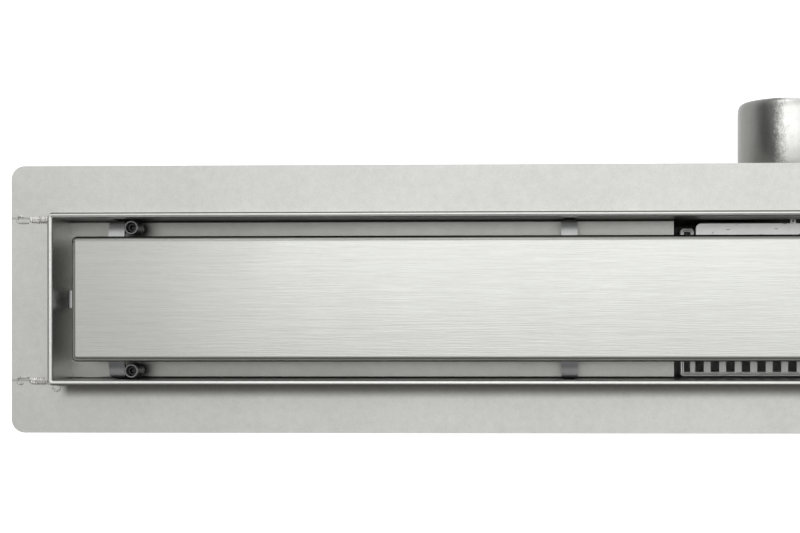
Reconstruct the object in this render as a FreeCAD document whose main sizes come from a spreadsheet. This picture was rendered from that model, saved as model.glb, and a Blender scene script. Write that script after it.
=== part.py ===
import FreeCAD, Part
import math
import os
import Sketcher

# Linear shower drain: a folded trough with a raised hem rim and a wide sealing flange, a solid cover
# on four bridges, a sump with a water trap under the middle and a horizontal outlet pipe.
# Millimetres. X runs along the drain, +Y points to the outlet, Z = 0 is the top of rim and cover.

DRIVING_SIZES = [
    ("sheet_thickness", 1.0, "stainless sheet of trough, end plates and sump"),
    ("fold_radius", 1.0, "inside radius of the folds of that sheet"),
    ("hem_slit", 0.15, "gap between the two layers of the hem rim"),
    ("rim_height", 9.0, "top of the rim above the flange"),
    ("opening_length", 605.0, "trough between its end walls"),
    ("opening_width", 65.8, "trough between its side walls"),
    ("end_flange", 20.5, "trough wall to the edge of the flange, at the ends"),
    ("side_flange", 22.0, "trough wall to the edge of the flange, at the sides"),
    ("flange_corner", 5.5, "corner radius of the flange"),
    ("trough_depth", 20.0, "top of the rim to the trough floor"),
    ("bead_width", 2.2, "flange weld bead, across"),
    ("bead_height", 0.6, "flange weld bead, above the flange"),
    ("bead_margin", 1.2, "end of a bead to the flange edge and to the rim"),
    ("cover_gap", 7.5, "cover edge to the trough wall, all round"),
    ("cover_thickness", 1.5, "cover plate"),
    ("cover_skirt", 8.0, "height of the folded cover edge"),
    ("cover_fold", 2.2, "outside radius of the cover fold"),
    ("cover_corner", 2.3, "corner radius of the cover in plan"),
    ("bridge_width", 6.6, "bridge strip, along the drain"),
    ("bridge_sheet", 1.5, "bridge and spacer strip thickness"),
    ("bridge_fold", 2.1, "outside radius of the bridge fold"),
    ("bridge_inner_inset", 43.3, "end of the sump to the inner bridges"),
    ("bridge_outer_inset", 23.3, "end wall to the outer bridges"),
    ("bridge_side_gap", 0.3, "bridge leg to the trough wall"),
    ("leg_clearance", 1.5, "bridge leg to the trough floor"),
    ("sleeve_wall", 0.65, "wall of the threaded levelling sleeve"),
    ("sleeve_height", 8.0, "threaded levelling sleeve"),
    ("sleeve_offset", 3.5, "trough wall to the middle of a levelling sleeve"),
    ("screw_diameter", 3.9, "levelling grub screw"),
    ("screw_clearance", 0.3, "grub screw to its sleeve and to the floor"),
    ("screw_drop", 9.5, "top of the rim to the top of a grub screw"),
    ("socket_width", 2.0, "hexagon socket across flats"),
    ("socket_depth", 2.5, "hexagon socket"),
    ("spacer_width", 7.1, "end spacer, across the drain"),
    ("spacer_inset", 9.0, "cover end to the hidden end of the spacer"),
    ("spacer_leg", 7.0, "height of the end spacer's leg"),
    ("spacer_gap", 2.6, "end spacer to the end wall"),
    ("pit_length", 100.0, "sump between its end walls"),
    ("sump_corner", 3.0, "outside corner radius of the sump"),
    ("sump_lap", 4.0, "overlap of the sump's sides on the trough walls"),
    ("pipe_diameter", 40.0, "outlet pipe, outside"),
    ("pipe_wall", 1.2, "outlet pipe"),
    ("pipe_cover", 5.0, "trough underside to the top of the pipe"),
    ("pipe_length", 50.8, "outlet pipe"),
    ("pipe_lead", 3.5, "length of the drawn-in pipe end"),
    ("pipe_draw", 1.3, "how far the pipe end is drawn in"),
    ("pipe_fit", 0.15, "pipe to its hole in the sump"),
    ("pipe_neck", 0.5, "how much smaller the pipe's radius is inside the ring weld"),
    ("weld_leg", 2.0, "ring weld round the pipe"),
    ("sump_sill", 4.0, "pipe underside to the sump floor"),
    ("lid_drop", 4.0, "trough floor to the top of the trap lid"),
    ("lid_thickness", 1.5, "trap lid"),
    ("lid_front", 10.0, "middle to the front edge of the trap lid"),
    ("lid_rear_gap", 2.4, "trap lid to the rear wall of the sump"),
    ("lid_corner", 2.0, "corner radius of the trap lid"),
    ("lug_size", 2.2, "locating lug of the trap lid, across"),
    ("lug_reach", 1.8, "locating lug beyond the lid"),
    ("lug_bore", 1.0, "hole in the locating lug"),
    ("trap_wall", 2.0, "plastic wall of the trap"),
    ("trap_inset", 0.9, "trap lid beyond the trap's sides"),
    ("trap_setback", 2.0, "trap's front wall behind the front edge of its lid"),
    ("trap_rear_gap", 1.9, "trap to the rear wall of the sump"),
    ("trap_corner", 1.5, "corner radius of the trap"),
    ("inlet_chamber", 13.0, "trap's front wall to the weir, inside"),
    ("weir_drop", 12.5, "top of the trap to the top of the weir"),
    ("inlet_height", 9.0, "height of the gap under the front wall"),
    ("ledge_width", 6.0, "side ledges that carry the strainer"),
    ("spigot_gap", 2.4, "trap spigot to the bore of the outlet pipe"),
    ("spigot_length", 14.0, "trap spigot"),
    ("lip_ring_wall", 1.0, "gasket between its lips"),
    ("lip_clearance", 0.1, "gasket lips to the pipe"),
    ("lip_spacing", 3.0, "distance between the gasket's lips"),
    ("lip_count", 3, "lips on the outlet gasket"),
    ("arm_gap", 0.8, "trap lid to the strainer"),
    ("arm_width", 5.7, "side arm of the strainer"),
    ("strainer_end_gap", 3.1, "strainer to the end walls of the sump"),
    ("strainer_sheet", 1.0, "strainer plate"),
    ("strainer_drop", 0.5, "top of the trap to the top of the strainer plate"),
    ("lip_width", 1.5, "upturned edge of the strainer"),
    ("lip_height", 1.0, "upturned edge above the strainer plate"),
    ("strainer_front_gap", 1.5, "strainer to the front wall of the sump"),
    ("strainer_rear_gap", 4.4, "strainer arms to the rear wall of the sump"),
    ("strainer_corner", 1.7, "corner radius of the strainer"),
    ("slot_width", 3.6, "strainer slot"),
    ("slot_pitch", 6.47, "strainer slot to slot"),
    ("slot_row_margin", 3.0, "upturned edge to the first slot, at least"),
    ("slot_margin", 0.3, "slot end to the upturned edge"),
    ("strainer_leg", 8.0, "width of the two front legs of the strainer"),
    ("strainer_leg_inset", 16.9, "end of the strainer to the middle of a leg"),
    ("strainer_leg_corner", 1.5, "corner radius of a leg"),
    ("foot_end_gap", 62.5, "end wall to the feet, along the drain"),
    ("foot_offset", 7.1, "trough wall to the feet, across"),
    ("bracket_width", 25.0, "foot bracket, along the drain"),
    ("bracket_sheet", 2.0, "foot bracket"),
    ("saddle_inset", 2.9, "trough wall to the bracket's drop, across"),
    ("bracket_drop", 15.0, "trough underside to the top of the lugs"),
    ("lug_end", 12.0, "foot to the end of its lug"),
    ("bracket_corner", 6.0, "corner radius of a lug"),
    ("rod_diameter", 7.8, "threaded foot rod"),
    ("rod_clearance", 0.3, "rod to the nuts and the lug"),
    ("rod_top_gap", 4.0, "flange underside to the top of a rod"),
    ("nut_width", 13.0, "lock nut across flats"),
    ("nut_height", 5.0, "lock nut"),
    ("pad_diameter", 28.0, "foot pad"),
    ("pad_edge", 2.5, "thickness of the foot pad's edge"),
    ("pad_boss", 16.0, "diameter of the foot pad's boss"),
    ("pad_height", 10.0, "foot pad"),
    ("pad_floor", 4.0, "foot pad under the rod"),
    ("ground_clearance", 9.0, "sump underside to the bottom of the feet"),
]

doc = FreeCAD.newDocument("linear_drain")
sheet = doc.addObject("Spreadsheet::Sheet", "sizes")
for row, (alias, value, meaning) in enumerate(DRIVING_SIZES, 1):
    sheet.set("A%d" % row, meaning)
    sheet.set("B%d" % row, str(value))
    sheet.setAlias("B%d" % row, alias)
doc.recompute()


class Size:
    # A length as a number, to place geometry with, and as the sheet formula that drives it
    def __init__(self, number, formula):
        self.number = float(number)
        self.formula = formula

    def __add__(self, other):
        other = as_size(other)
        return Size(self.number + other.number, "(%s + %s)" % (self.formula, other.formula))

    def __sub__(self, other):
        other = as_size(other)
        return Size(self.number - other.number, "(%s - %s)" % (self.formula, other.formula))

    def __mul__(self, other):
        other = as_size(other)
        return Size(self.number * other.number, "(%s * %s)" % (self.formula, other.formula))

    def __truediv__(self, other):
        other = as_size(other)
        return Size(self.number / other.number, "(%s / %s)" % (self.formula, other.formula))

    def __neg__(self):
        return self * -1

    __radd__ = __add__
    __rmul__ = __mul__


def as_size(value):
    if isinstance(value, Size):
        return value
    return Size(value, "(%s)" % repr(float(value)))


def whole(size):
    # The size rounded down to a whole number, for a count
    return Size(math.floor(size.number + 1e-9), "floor(%s)" % size.formula)


class Sizes:
    # Every alias of the sheet as an attribute
    pass


s = Sizes()
for alias, value, meaning in DRIVING_SIZES:
    setattr(s, alias, Size(value, "sizes.%s" % alias))

# Places worked out from the driving sizes
half_open = s.opening_width / 2
end_inside = s.opening_length / 2
hem = 2 * s.sheet_thickness + s.hem_slit
rim_side = half_open + hem
rim_end = end_inside + hem
flange_side = half_open + s.side_flange
flange_end = end_inside + s.end_flange
outer_fold = s.fold_radius + s.sheet_thickness
flange_top = -s.rim_height
flange_under = flange_top - s.sheet_thickness
floor_top = -s.trough_depth
floor_under = floor_top - s.sheet_thickness
hem_middle = -(hem / 2)
cover_end = end_inside - s.cover_gap
cover_side = half_open - s.cover_gap
cover_under = -s.cover_skirt
bridge_outer = end_inside - s.bridge_outer_inset
sleeve_radius = s.screw_diameter / 2 + s.screw_clearance + s.sleeve_wall
sleeve_side = half_open - s.sleeve_offset
sleeve_station = bridge_outer - s.bridge_width / 2 - sleeve_radius
sump_inside = half_open + s.sheet_thickness
sump_outside = sump_inside + s.sheet_thickness
pit_end = s.pit_length / 2
bridge_inner = pit_end + s.bridge_inner_inset
pipe_radius = s.pipe_diameter / 2
pipe_axis = floor_under - s.pipe_cover - pipe_radius
pipe_end = sump_inside + s.pipe_length
neck_radius = pipe_radius - s.pipe_neck
weld_end = sump_outside + s.weld_leg
sump_floor = pipe_axis - pipe_radius - s.sump_sill
sump_under = sump_floor - s.sheet_thickness
lid_top = floor_top - s.lid_drop
lid_under = lid_top - s.lid_thickness
arm_outside = pit_end - s.strainer_end_gap
arm_inside = arm_outside - s.arm_width
lid_side = arm_inside - s.arm_gap
lid_rear = sump_inside - s.lid_rear_gap
trap_side = lid_side - s.trap_inset
trap_front = s.trap_setback - s.lid_front
weir_place = trap_front + s.trap_wall + s.inlet_chamber
trap_rear = sump_inside - s.trap_rear_gap
trap_floor = sump_floor + s.trap_wall
spigot_radius = pipe_radius - s.pipe_wall - s.spigot_gap
strainer_top = lid_under - s.strainer_drop
strainer_under = strainer_top - s.strainer_sheet
strainer_front = -(sump_inside - s.strainer_front_gap)
strainer_rear = sump_inside - s.strainer_rear_gap
strainer_notch = -(s.lid_front + s.arm_gap)
slot_row = 2 * (arm_outside - s.lip_width - s.slot_row_margin)
slot_count = whole((slot_row + s.slot_pitch - s.slot_width) / s.slot_pitch)
leg_place = arm_outside - s.strainer_leg_inset
ground = sump_under - s.ground_clearance
foot_station = end_inside - s.foot_end_gap
foot_side = half_open + s.foot_offset
saddle = half_open - s.saddle_inset
bracket_end = foot_side + s.lug_end
lug_top = floor_under - s.bracket_drop
lug_under = lug_top - s.bracket_sheet
rod_radius = s.rod_diameter / 2
rod_bottom = ground + s.pad_floor


def bind(thing, prop, size):
    thing.setExpression(prop, as_size(size).formula)


def new_body(name):
    body = doc.addObject("PartDesign::Body", name)
    body.Label = name
    return body


def place(thing, x=None, y=None, z=None):
    # Binds the given coordinates of an object's Placement
    for axis, size in (("x", x), ("y", y), ("z", z)):
        if size is not None:
            bind(thing, "Placement.Base.%s" % axis, size)


def new_sketch(body, name, plane, across=0, up=0, out=0):
    # A sketch on one of the body's own planes, with its origin shifted in that plane and off it
    sketch = body.newObject("Sketcher::SketchObject", body.Name + "_" + name)
    origin_plane = [item for item in body.Origin.OriginFeatures if item.Role == plane + "_Plane"][0]
    sketch.AttachmentSupport = [(origin_plane, "")]
    sketch.MapMode = "FlatFace"
    bind(sketch, "AttachmentOffset.Base.x", across)
    bind(sketch, "AttachmentOffset.Base.y", up)
    bind(sketch, "AttachmentOffset.Base.z", out)
    return sketch


def fix_point(sketch, geometry, vertex, x, y):
    for kind, size in (("DistanceX", x), ("DistanceY", y)):
        size = as_size(size)
        index = sketch.addConstraint(Sketcher.Constraint(kind, -1, 1, geometry, vertex, size.number))
        bind(sketch, "Constraints[%d]" % index, size)


def draw_outline(sketch, points):
    # A closed outline. A point is (x, y), or (x, y, centre_x, centre_y, turn) where an arc arrives at it
    # round that centre, anticlockwise for a turn of 1 and clockwise for -1
    spots = [FreeCAD.Vector(as_size(p[0]).number, as_size(p[1]).number, 0) for p in points]
    ends = []
    for index, point in enumerate(points):
        start = spots[index - 1]
        finish = spots[index]
        if len(point) == 2:
            number = sketch.addGeometry(Part.LineSegment(start, finish), False)
            ends.append((number, 1, 2))
        else:
            centre = FreeCAD.Vector(as_size(point[2]).number, as_size(point[3]).number, 0)
            first, last = (start, finish) if point[4] > 0 else (finish, start)
            angles = [math.atan2(p.y - centre.y, p.x - centre.x) for p in (first, last)]
            if angles[1] <= angles[0]:
                angles[1] += 2 * math.pi
            circle = Part.Circle(centre, FreeCAD.Vector(0, 0, 1), (finish - centre).Length)
            number = sketch.addGeometry(Part.ArcOfCircle(circle, angles[0], angles[1]), False)
            ends.append((number, 1, 2) if point[4] > 0 else (number, 2, 1))
    for index, point in enumerate(points):
        number, start_vertex, end_vertex = ends[index]
        before = ends[index - 1]
        sketch.addConstraint(Sketcher.Constraint("Coincident", before[0], before[2], number, start_vertex))
        fix_point(sketch, number, end_vertex, point[0], point[1])
        if len(point) > 2:
            height = as_size(point[3])
            fixed = sketch.addConstraint(Sketcher.Constraint("DistanceY", -1, 1, number, 3, height.number))
            bind(sketch, "Constraints[%d]" % fixed, height)


def draw_circle(sketch, x, y, radius):
    centre = FreeCAD.Vector(as_size(x).number, as_size(y).number, 0)
    size = as_size(radius)
    number = sketch.addGeometry(Part.Circle(centre, FreeCAD.Vector(0, 0, 1), size.number), False)
    fix_point(sketch, number, 3, x, y)
    index = sketch.addConstraint(Sketcher.Constraint("Radius", number, size.number))
    bind(sketch, "Constraints[%d]" % index, size)


def rectangle(x_low, x_high, y_low, y_high):
    return [(x_low, y_low), (x_high, y_low), (x_high, y_high), (x_low, y_high)]


def mirrored_outline(right):
    # The points on the right of the Y axis, followed by their mirror images in the opposite order
    left = []
    for index in range(len(right) - 1, -1, -1):
        point = right[index]
        after = right[index + 1] if index + 1 < len(right) else point
        if len(after) > 2:
            left.append((-point[0], point[1], -after[2], after[3], after[4]))
        else:
            left.append((-point[0], point[1]))
    return right + left


def pad(body, sketch, length, symmetric=False, reverse=False):
    feature = body.newObject("PartDesign::Pad", sketch.Name + "_pad")
    feature.Profile = sketch
    feature.SideType = "Symmetric" if symmetric else "One side"
    feature.Reversed = reverse
    bind(feature, "Length", length)
    doc.recompute()
    return feature


def pocket(body, sketch, length, reverse=False):
    before = body.Tip.Shape.Volume
    feature = body.newObject("PartDesign::Pocket", sketch.Name + "_pocket")
    feature.Profile = sketch
    feature.Reversed = reverse
    bind(feature, "Length", length)
    doc.recompute()
    if feature.Shape.Volume > before - 1e-3:
        raise RuntimeError("pocket %s cuts nothing" % feature.Name)
    return feature


def revolve(body, sketch, axis, angle=360, reverse=False):
    feature = body.newObject("PartDesign::Revolution", sketch.Name + "_turn")
    feature.Profile = sketch
    feature.ReferenceAxis = (sketch, [axis])
    feature.Angle = angle
    feature.Reversed = reverse
    doc.recompute()
    return feature


def find_edges(shape, test):
    return ["Edge%d" % number for number, edge in enumerate(shape.Edges, 1) if test(edge)]


def along(axis, *places):
    # Picks straight edges along an axis at the given places, with None for any value of a coordinate
    others = {"x": ("y", "z"), "y": ("x", "z"), "z": ("x", "y")}[axis]

    def test(edge):
        if not isinstance(edge.Curve, Part.Line):
            return False
        start = edge.Vertexes[0].Point
        finish = edge.Vertexes[-1].Point
        if abs(abs(getattr(finish - start, axis)) - edge.Length) > 1e-4:
            return False
        for spot in places:
            offsets = [
                0 if want is None else getattr(start, other) - as_size(want).number
                for other, want in zip(others, spot)
            ]
            if max(abs(offset) for offset in offsets) < 1e-3:
                return True
        return False

    return test


def round_edges(body, test, radius):
    base = body.Tip
    names = find_edges(base.Shape, test)
    if not names:
        raise RuntimeError("no edge to round on %s" % body.Name)
    feature = body.newObject("PartDesign::Fillet", body.Name + "_fillet")
    feature.Base = (base, names)
    bind(feature, "Radius", radius)
    doc.recompute()
    return feature


def hollow(body, level, wall):
    # Leaves a wall of one thickness, open at the flat face that lies at the given height
    base = body.Tip
    faces = [
        "Face%d" % number for number, face in enumerate(base.Shape.Faces, 1)
        if max(abs(vertex.Point.z - level.number) for vertex in face.Vertexes) < 1e-4
    ]
    feature = body.newObject("PartDesign::Thickness", body.Name + "_shell")
    feature.Base = (base, faces)
    feature.Reversed = True
    bind(feature, "Value", wall)
    doc.recompute()
    return feature


def both(*places):
    # The given places and their mirror images in the first coordinate
    return [(place[0] * sign, place[1]) for place in places for sign in (1, -1)]


def group(name, members):
    compound = doc.addObject("Part::Compound", name)
    compound.Label = name
    compound.Links = members
    return compound


def make_channel():
    # One sheet: trough floor and walls, hem rim, long flanges with the corners of the end flanges
    body = new_body("channel_profile")
    section = new_sketch(body, "section", "YZ")
    draw_outline(section, mirrored_outline([
        (half_open, floor_top),
        (half_open, hem_middle),
        (rim_side, hem_middle, half_open + hem / 2, hem_middle, -1),
        (rim_side, flange_top),
        (flange_side, flange_top),
        (flange_side, flange_under),
        (rim_side - s.sheet_thickness, flange_under),
        (rim_side - s.sheet_thickness, hem_middle),
        (half_open + s.sheet_thickness, hem_middle),
        (half_open + s.sheet_thickness, floor_under),
    ]))
    pad(body, section, s.opening_length, symmetric=True)
    round_edges(body, along("x", *both((half_open, floor_top))), s.fold_radius)
    outer_folds = both(
        (half_open + s.sheet_thickness, floor_under),
        (rim_side - s.sheet_thickness, flange_under),
    )
    round_edges(body, along("x", *outer_folds), outer_fold)

    corners = new_sketch(body, "corner_plates", "XY", out=flange_under)
    for side_x in (1, -1):
        for side_y in (1, -1):
            draw_outline(corners, rectangle(
                side_x * end_inside, side_x * flange_end, side_y * half_open, side_y * flange_side))
    pad(body, corners, s.sheet_thickness)
    round_edges(body, along("z", *[
        (flange_end * side_x, flange_side * side_y) for side_x in (1, -1) for side_y in (1, -1)
    ]), s.flange_corner)

    # The rim's rounded corners: the hem's section turned a quarter round each corner of the trough
    for side_x in (1, -1):
        for side_y in (1, -1):
            name = "rim_corner_%s_%s" % ("right" if side_x > 0 else "left", "rear" if side_y > 0 else "front")
            profile = new_sketch(
                body, name, "XZ", across=side_x * end_inside, out=-side_y * half_open)
            draw_outline(profile, [
                (0, flange_top),
                (0, hem_middle),
                (side_x * hem, hem_middle, side_x * hem / 2, hem_middle, -side_x),
                (side_x * hem, flange_top),
            ])
            revolve(body, profile, "V_Axis", 90, reverse=side_x * side_y < 0)

    def rim_base(edge):
        middle = edge.valueAt((edge.FirstParameter + edge.LastParameter) / 2)
        if abs(middle.z - flange_top.number) > 1e-3:
            return False
        if isinstance(edge.Curve, Part.Circle):
            return abs(edge.Curve.Radius - hem.number) < 1e-3
        return edge.Length > end_inside.number and abs(abs(middle.y) - rim_side.number) < 1e-3

    round_edges(body, rim_base, s.fold_radius)

    opening = new_sketch(body, "sump_opening", "XY", out=floor_top + s.fold_radius)
    draw_outline(opening, rectangle(-pit_end, pit_end, -half_open, half_open))
    pocket(body, opening, s.fold_radius + 2 * s.sheet_thickness)
    return body


def make_end_plate(name, side):
    # End wall, hem and end flange folded from one strip that fits between the channel's sides
    body = new_body(name)
    section = new_sketch(body, "section", "XZ")
    inside = side * end_inside
    outside = side * rim_end
    wall = side * s.sheet_thickness
    draw_outline(section, [
        (inside, floor_under),
        (inside, hem_middle),
        (outside, hem_middle, inside + side * hem / 2, hem_middle, -side),
        (outside, flange_top),
        (side * flange_end, flange_top),
        (side * flange_end, flange_under),
        (outside - wall, flange_under),
        (outside - wall, hem_middle),
        (inside + wall, hem_middle),
        (inside + wall, floor_under),
    ])
    pad(body, section, s.opening_width, symmetric=True)
    round_edges(body, along("y", (outside, flange_top)), s.fold_radius)
    round_edges(body, along("y", (outside - wall, flange_under)), outer_fold)
    return body


def make_corner_welds():
    # Quarter-round welds that close the trough's four upright corners
    members = []
    for quarter, (side_x, side_y) in enumerate(((1, 1), (-1, 1), (-1, -1), (1, -1))):
        bead = doc.addObject("Part::Cylinder", "corner_weld_%d" % (quarter + 1))
        bead.Angle = 90
        bead.Placement.Rotation = FreeCAD.Rotation(FreeCAD.Vector(0, 0, 1), 90 * quarter)
        bind(bead, "Radius", s.sheet_thickness)
        bind(bead, "Height", flange_under - floor_under)
        place(bead, side_x * end_inside, side_y * half_open, floor_under)
        members.append(bead)
    return group("corner_welds", members)


def make_flange_welds():
    # Low beads along the four seams between the end plates and the channel's flange
    members = []
    start = rim_end + s.bead_margin
    for side_x in (1, -1):
        for side_y in (1, -1):
            number = len(members) + 1
            body = new_body("flange_weld_%d" % number)
            plan = new_sketch(body, "plan", "XY", out=flange_top)
            low = side_y * half_open - s.bead_width / 2
            draw_outline(plan, rectangle(
                side_x * start, side_x * (flange_end - s.bead_margin), low, low + s.bead_width))
            pad(body, plan, s.bead_height)
            crown = flange_top + s.bead_height
            round_edges(body, along("x", (low, crown), (low + s.bead_width, crown)), s.bead_height * 0.8)
            members.append(body)
    return group("flange_welds", members)


def make_sump():
    # Box under the middle of the trough, its sides lapped on the outside of the trough walls
    body = new_body("sump_box")
    plan = new_sketch(body, "plan", "XY", out=sump_under)
    end = pit_end + s.sheet_thickness
    draw_outline(plan, rectangle(-end, end, -sump_outside, sump_outside))
    pad(body, plan, floor_under - sump_under)
    round_edges(body, along("z", (None, None)), s.sump_corner)

    def bottom_rim(edge):
        return max(abs(vertex.Point.z - sump_under.number) for vertex in edge.Vertexes) < 1e-4

    round_edges(body, bottom_rim, outer_fold)
    hollow(body, floor_under, s.sheet_thickness)

    laps = new_sketch(body, "laps", "XY", out=floor_under)
    lap_end = pit_end + s.sheet_thickness - s.sump_corner
    for side in (1, -1):
        draw_outline(laps, rectangle(-lap_end, lap_end, side * sump_inside, side * sump_outside))
    pad(body, laps, s.sump_lap)

    hole = new_sketch(body, "outlet_hole", "XZ", out=-(sump_inside - s.sheet_thickness))
    draw_circle(hole, 0, pipe_axis, neck_radius + s.pipe_fit)
    pocket(body, hole, 3 * s.sheet_thickness)
    return body


def make_pipe():
    # Tube with a turned neck in the sump's hole and weld, its free end drawn in as a lead for the socket
    body = new_body("outlet_pipe")
    profile = new_sketch(body, "profile", "YZ", up=pipe_axis)
    bore = pipe_radius - s.pipe_wall
    lead = pipe_end - s.pipe_lead
    draw_outline(profile, [
        (sump_inside, bore),
        (sump_inside, neck_radius),
        (weld_end, neck_radius),
        (weld_end, pipe_radius),
        (lead, pipe_radius),
        (pipe_end, pipe_radius - s.pipe_draw),
        (pipe_end, bore - s.pipe_draw),
        (lead, bore),
    ])
    revolve(body, profile, "H_Axis")

    def shoulder(edge):
        circle = edge.Curve
        if not isinstance(circle, Part.Circle):
            return False
        return abs(circle.Center.y - lead.number) < 1e-3 and abs(circle.Radius - pipe_radius.number) < 1e-3

    round_edges(body, shoulder, s.pipe_lead)
    return body


def make_outlet_weld():
    # Ring of weld between the sump's rear wall and the pipe
    cone = doc.addObject("Part::Cone", "outlet_weld_cone")
    bore = doc.addObject("Part::Cylinder", "outlet_weld_bore")
    turn = FreeCAD.Rotation(FreeCAD.Vector(1, 0, 0), -90)
    for shape in (cone, bore):
        shape.Placement.Rotation = turn
        place(shape, 0, sump_outside, pipe_axis)
        bind(shape, "Height", s.weld_leg)
    bind(cone, "Radius1", pipe_radius + s.weld_leg)
    bind(cone, "Radius2", pipe_radius)
    bind(bore, "Radius", neck_radius)
    weld = doc.addObject("Part::Cut", "outlet_weld")
    weld.Label = "outlet_weld"
    weld.Base = cone
    weld.Tool = bore
    return weld


def make_cover():
    # Tray folded down on all four sides, open below
    body = new_body("cover_plate")
    plan = new_sketch(body, "plan", "XY", out=cover_under)
    draw_outline(plan, rectangle(-cover_end, cover_end, -cover_side, cover_side))
    pad(body, plan, s.cover_skirt)
    round_edges(body, along("z", (None, None)), s.cover_corner)

    def top_rim(edge):
        return max(abs(vertex.Point.z) for vertex in edge.Vertexes) < 1e-4

    round_edges(body, top_rim, s.cover_fold)
    hollow(body, cover_under, s.cover_thickness)
    return body


def make_bridge(name, station):
    # Strip across the trough under the cover, with a leg down each wall that centres the cover
    body = new_body(name)
    section = new_sketch(body, "section", "YZ")
    side = half_open - s.bridge_side_gap
    foot = floor_top + s.leg_clearance
    draw_outline(section, mirrored_outline([
        (side, cover_under),
        (side, foot),
        (side - s.bridge_sheet, foot),
        (side - s.bridge_sheet, cover_under - s.bridge_sheet),
    ]))
    pad(body, section, s.bridge_width, symmetric=True)
    round_edges(body, along("x", *both((side, cover_under))), s.bridge_fold)
    inner = both((side - s.bridge_sheet, cover_under - s.bridge_sheet))
    round_edges(body, along("x", *inner), s.bridge_fold - s.bridge_sheet)
    place(body, x=station)
    return body


def make_sleeve(name, side_x, side_y):
    # Threaded sleeve welded to the side of an outer bridge
    body = new_body(name)
    plan = new_sketch(body, "plan", "XY", out=cover_under - s.sleeve_height)
    draw_circle(plan, 0, 0, sleeve_radius)
    draw_circle(plan, 0, 0, s.screw_diameter / 2 + s.screw_clearance)
    pad(body, plan, s.sleeve_height)
    place(body, x=side_x * sleeve_station, y=side_y * sleeve_side)
    return body


def make_grub_screw(name, side_x, side_y):
    # Hexagon socket grub screw that stands on the trough floor and sets the cover's height
    body = new_body(name)
    tip = floor_top + s.screw_clearance
    plan = new_sketch(body, "plan", "XY", out=tip)
    draw_circle(plan, 0, 0, s.screw_diameter / 2)
    pad(body, plan, -s.screw_drop - tip)
    socket = new_sketch(body, "socket", "XY", out=-s.screw_drop)
    corner = s.socket_width / math.sqrt(3)
    draw_outline(socket, [
        (corner * math.cos(turn * math.pi / 3), corner * math.sin(turn * math.pi / 3)) for turn in range(6)
    ])
    pocket(body, socket, s.socket_depth)
    place(body, x=side_x * sleeve_station, y=side_y * sleeve_side)
    return body


def make_end_spacer(name, side):
    # Short strip under each end of the cover, bent down to keep the cover off the end wall
    body = new_body(name)
    section = new_sketch(body, "section", "XZ")
    outer = end_inside - s.spacer_gap
    inner = outer - s.bridge_sheet
    draw_outline(section, [
        (side * (cover_end - s.spacer_inset), cover_under),
        (side * outer, cover_under),
        (side * outer, cover_under - s.spacer_leg),
        (side * inner, cover_under - s.spacer_leg),
        (side * inner, cover_under - s.bridge_sheet),
        (side * (cover_end - s.spacer_inset), cover_under - s.bridge_sheet),
    ])
    pad(body, section, s.spacer_width, symmetric=True)
    round_edges(body, along("y", (side * outer, cover_under)), s.bridge_fold)
    round_edges(
        body, along("y", (side * inner, cover_under - s.bridge_sheet)), s.bridge_fold - s.bridge_sheet)
    return body


def make_trap_body():
    # Moulded water trap: inlet gap under the front wall, weir, outlet spigot, ledges for the strainer
    body = new_body("trap_body")
    plan = new_sketch(body, "plan", "XY", out=sump_floor)
    draw_outline(plan, rectangle(-trap_side, trap_side, trap_front, trap_rear))
    pad(body, plan, lid_under - sump_floor)
    round_edges(body, along("z", (None, None)), s.trap_corner)

    room = trap_side - s.trap_wall
    depth = lid_under - trap_floor
    inlet = new_sketch(body, "inlet_chamber", "XY", out=lid_under)
    draw_outline(inlet, rectangle(-room, room, trap_front + s.trap_wall, weir_place))
    pocket(body, inlet, depth)
    outlet = new_sketch(body, "outlet_chamber", "XY", out=lid_under)
    draw_outline(outlet, rectangle(-room, room, weir_place + s.trap_wall, trap_rear - s.trap_wall))
    pocket(body, outlet, depth)
    weir = new_sketch(body, "weir_top", "XY", out=lid_under)
    draw_outline(weir, rectangle(-room, room, weir_place, weir_place + s.trap_wall))
    pocket(body, weir, s.weir_drop)
    gap = new_sketch(body, "inlet_gap", "XZ", out=s.trap_wall - trap_front)
    draw_outline(gap, rectangle(-room, room, trap_floor, trap_floor + s.inlet_height))
    pocket(body, gap, 2.5 * s.trap_wall)

    ledges = new_sketch(body, "ledges", "XY", out=strainer_under - s.trap_wall)
    for side in (1, -1):
        draw_outline(ledges, rectangle(
            side * trap_side, side * (trap_side + s.ledge_width), trap_front + s.trap_corner,
            strainer_rear))
    pad(body, ledges, s.trap_wall)

    spigot = new_sketch(body, "spigot", "XZ", out=-(trap_rear - s.trap_wall))
    draw_circle(spigot, 0, pipe_axis, spigot_radius)
    pad(body, spigot, s.spigot_length + s.trap_wall, reverse=True)
    bore = new_sketch(body, "spigot_bore", "XZ", out=-(trap_rear - 2 * s.trap_wall))
    draw_circle(bore, 0, pipe_axis, spigot_radius - s.trap_wall)
    pocket(body, bore, s.spigot_length + 3 * s.trap_wall)
    return body


def make_gasket():
    # Rubber ring on the spigot with soft lips that press on the inside of the pipe
    body = new_body("outlet_gasket")
    profile = new_sketch(body, "profile", "YZ", up=pipe_axis)
    ring = spigot_radius + s.lip_ring_wall
    crest = pipe_radius - s.pipe_wall - s.lip_clearance
    first = sump_inside + s.lip_spacing
    points = [(first, spigot_radius), (first, ring)]
    for number in range(int(s.lip_count.number)):
        base = first + number * s.lip_spacing
        points.append((base + 0.2 * s.lip_spacing, ring))
        points.append((base + 0.3 * s.lip_spacing, crest))
        points.append((base + 0.5 * s.lip_spacing, crest))
        points.append((base + 0.8 * s.lip_spacing, ring))
    last = first + s.lip_count * s.lip_spacing
    points += [(last, ring), (last, spigot_radius)]
    draw_outline(profile, points)
    revolve(body, profile, "H_Axis")
    return body


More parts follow.
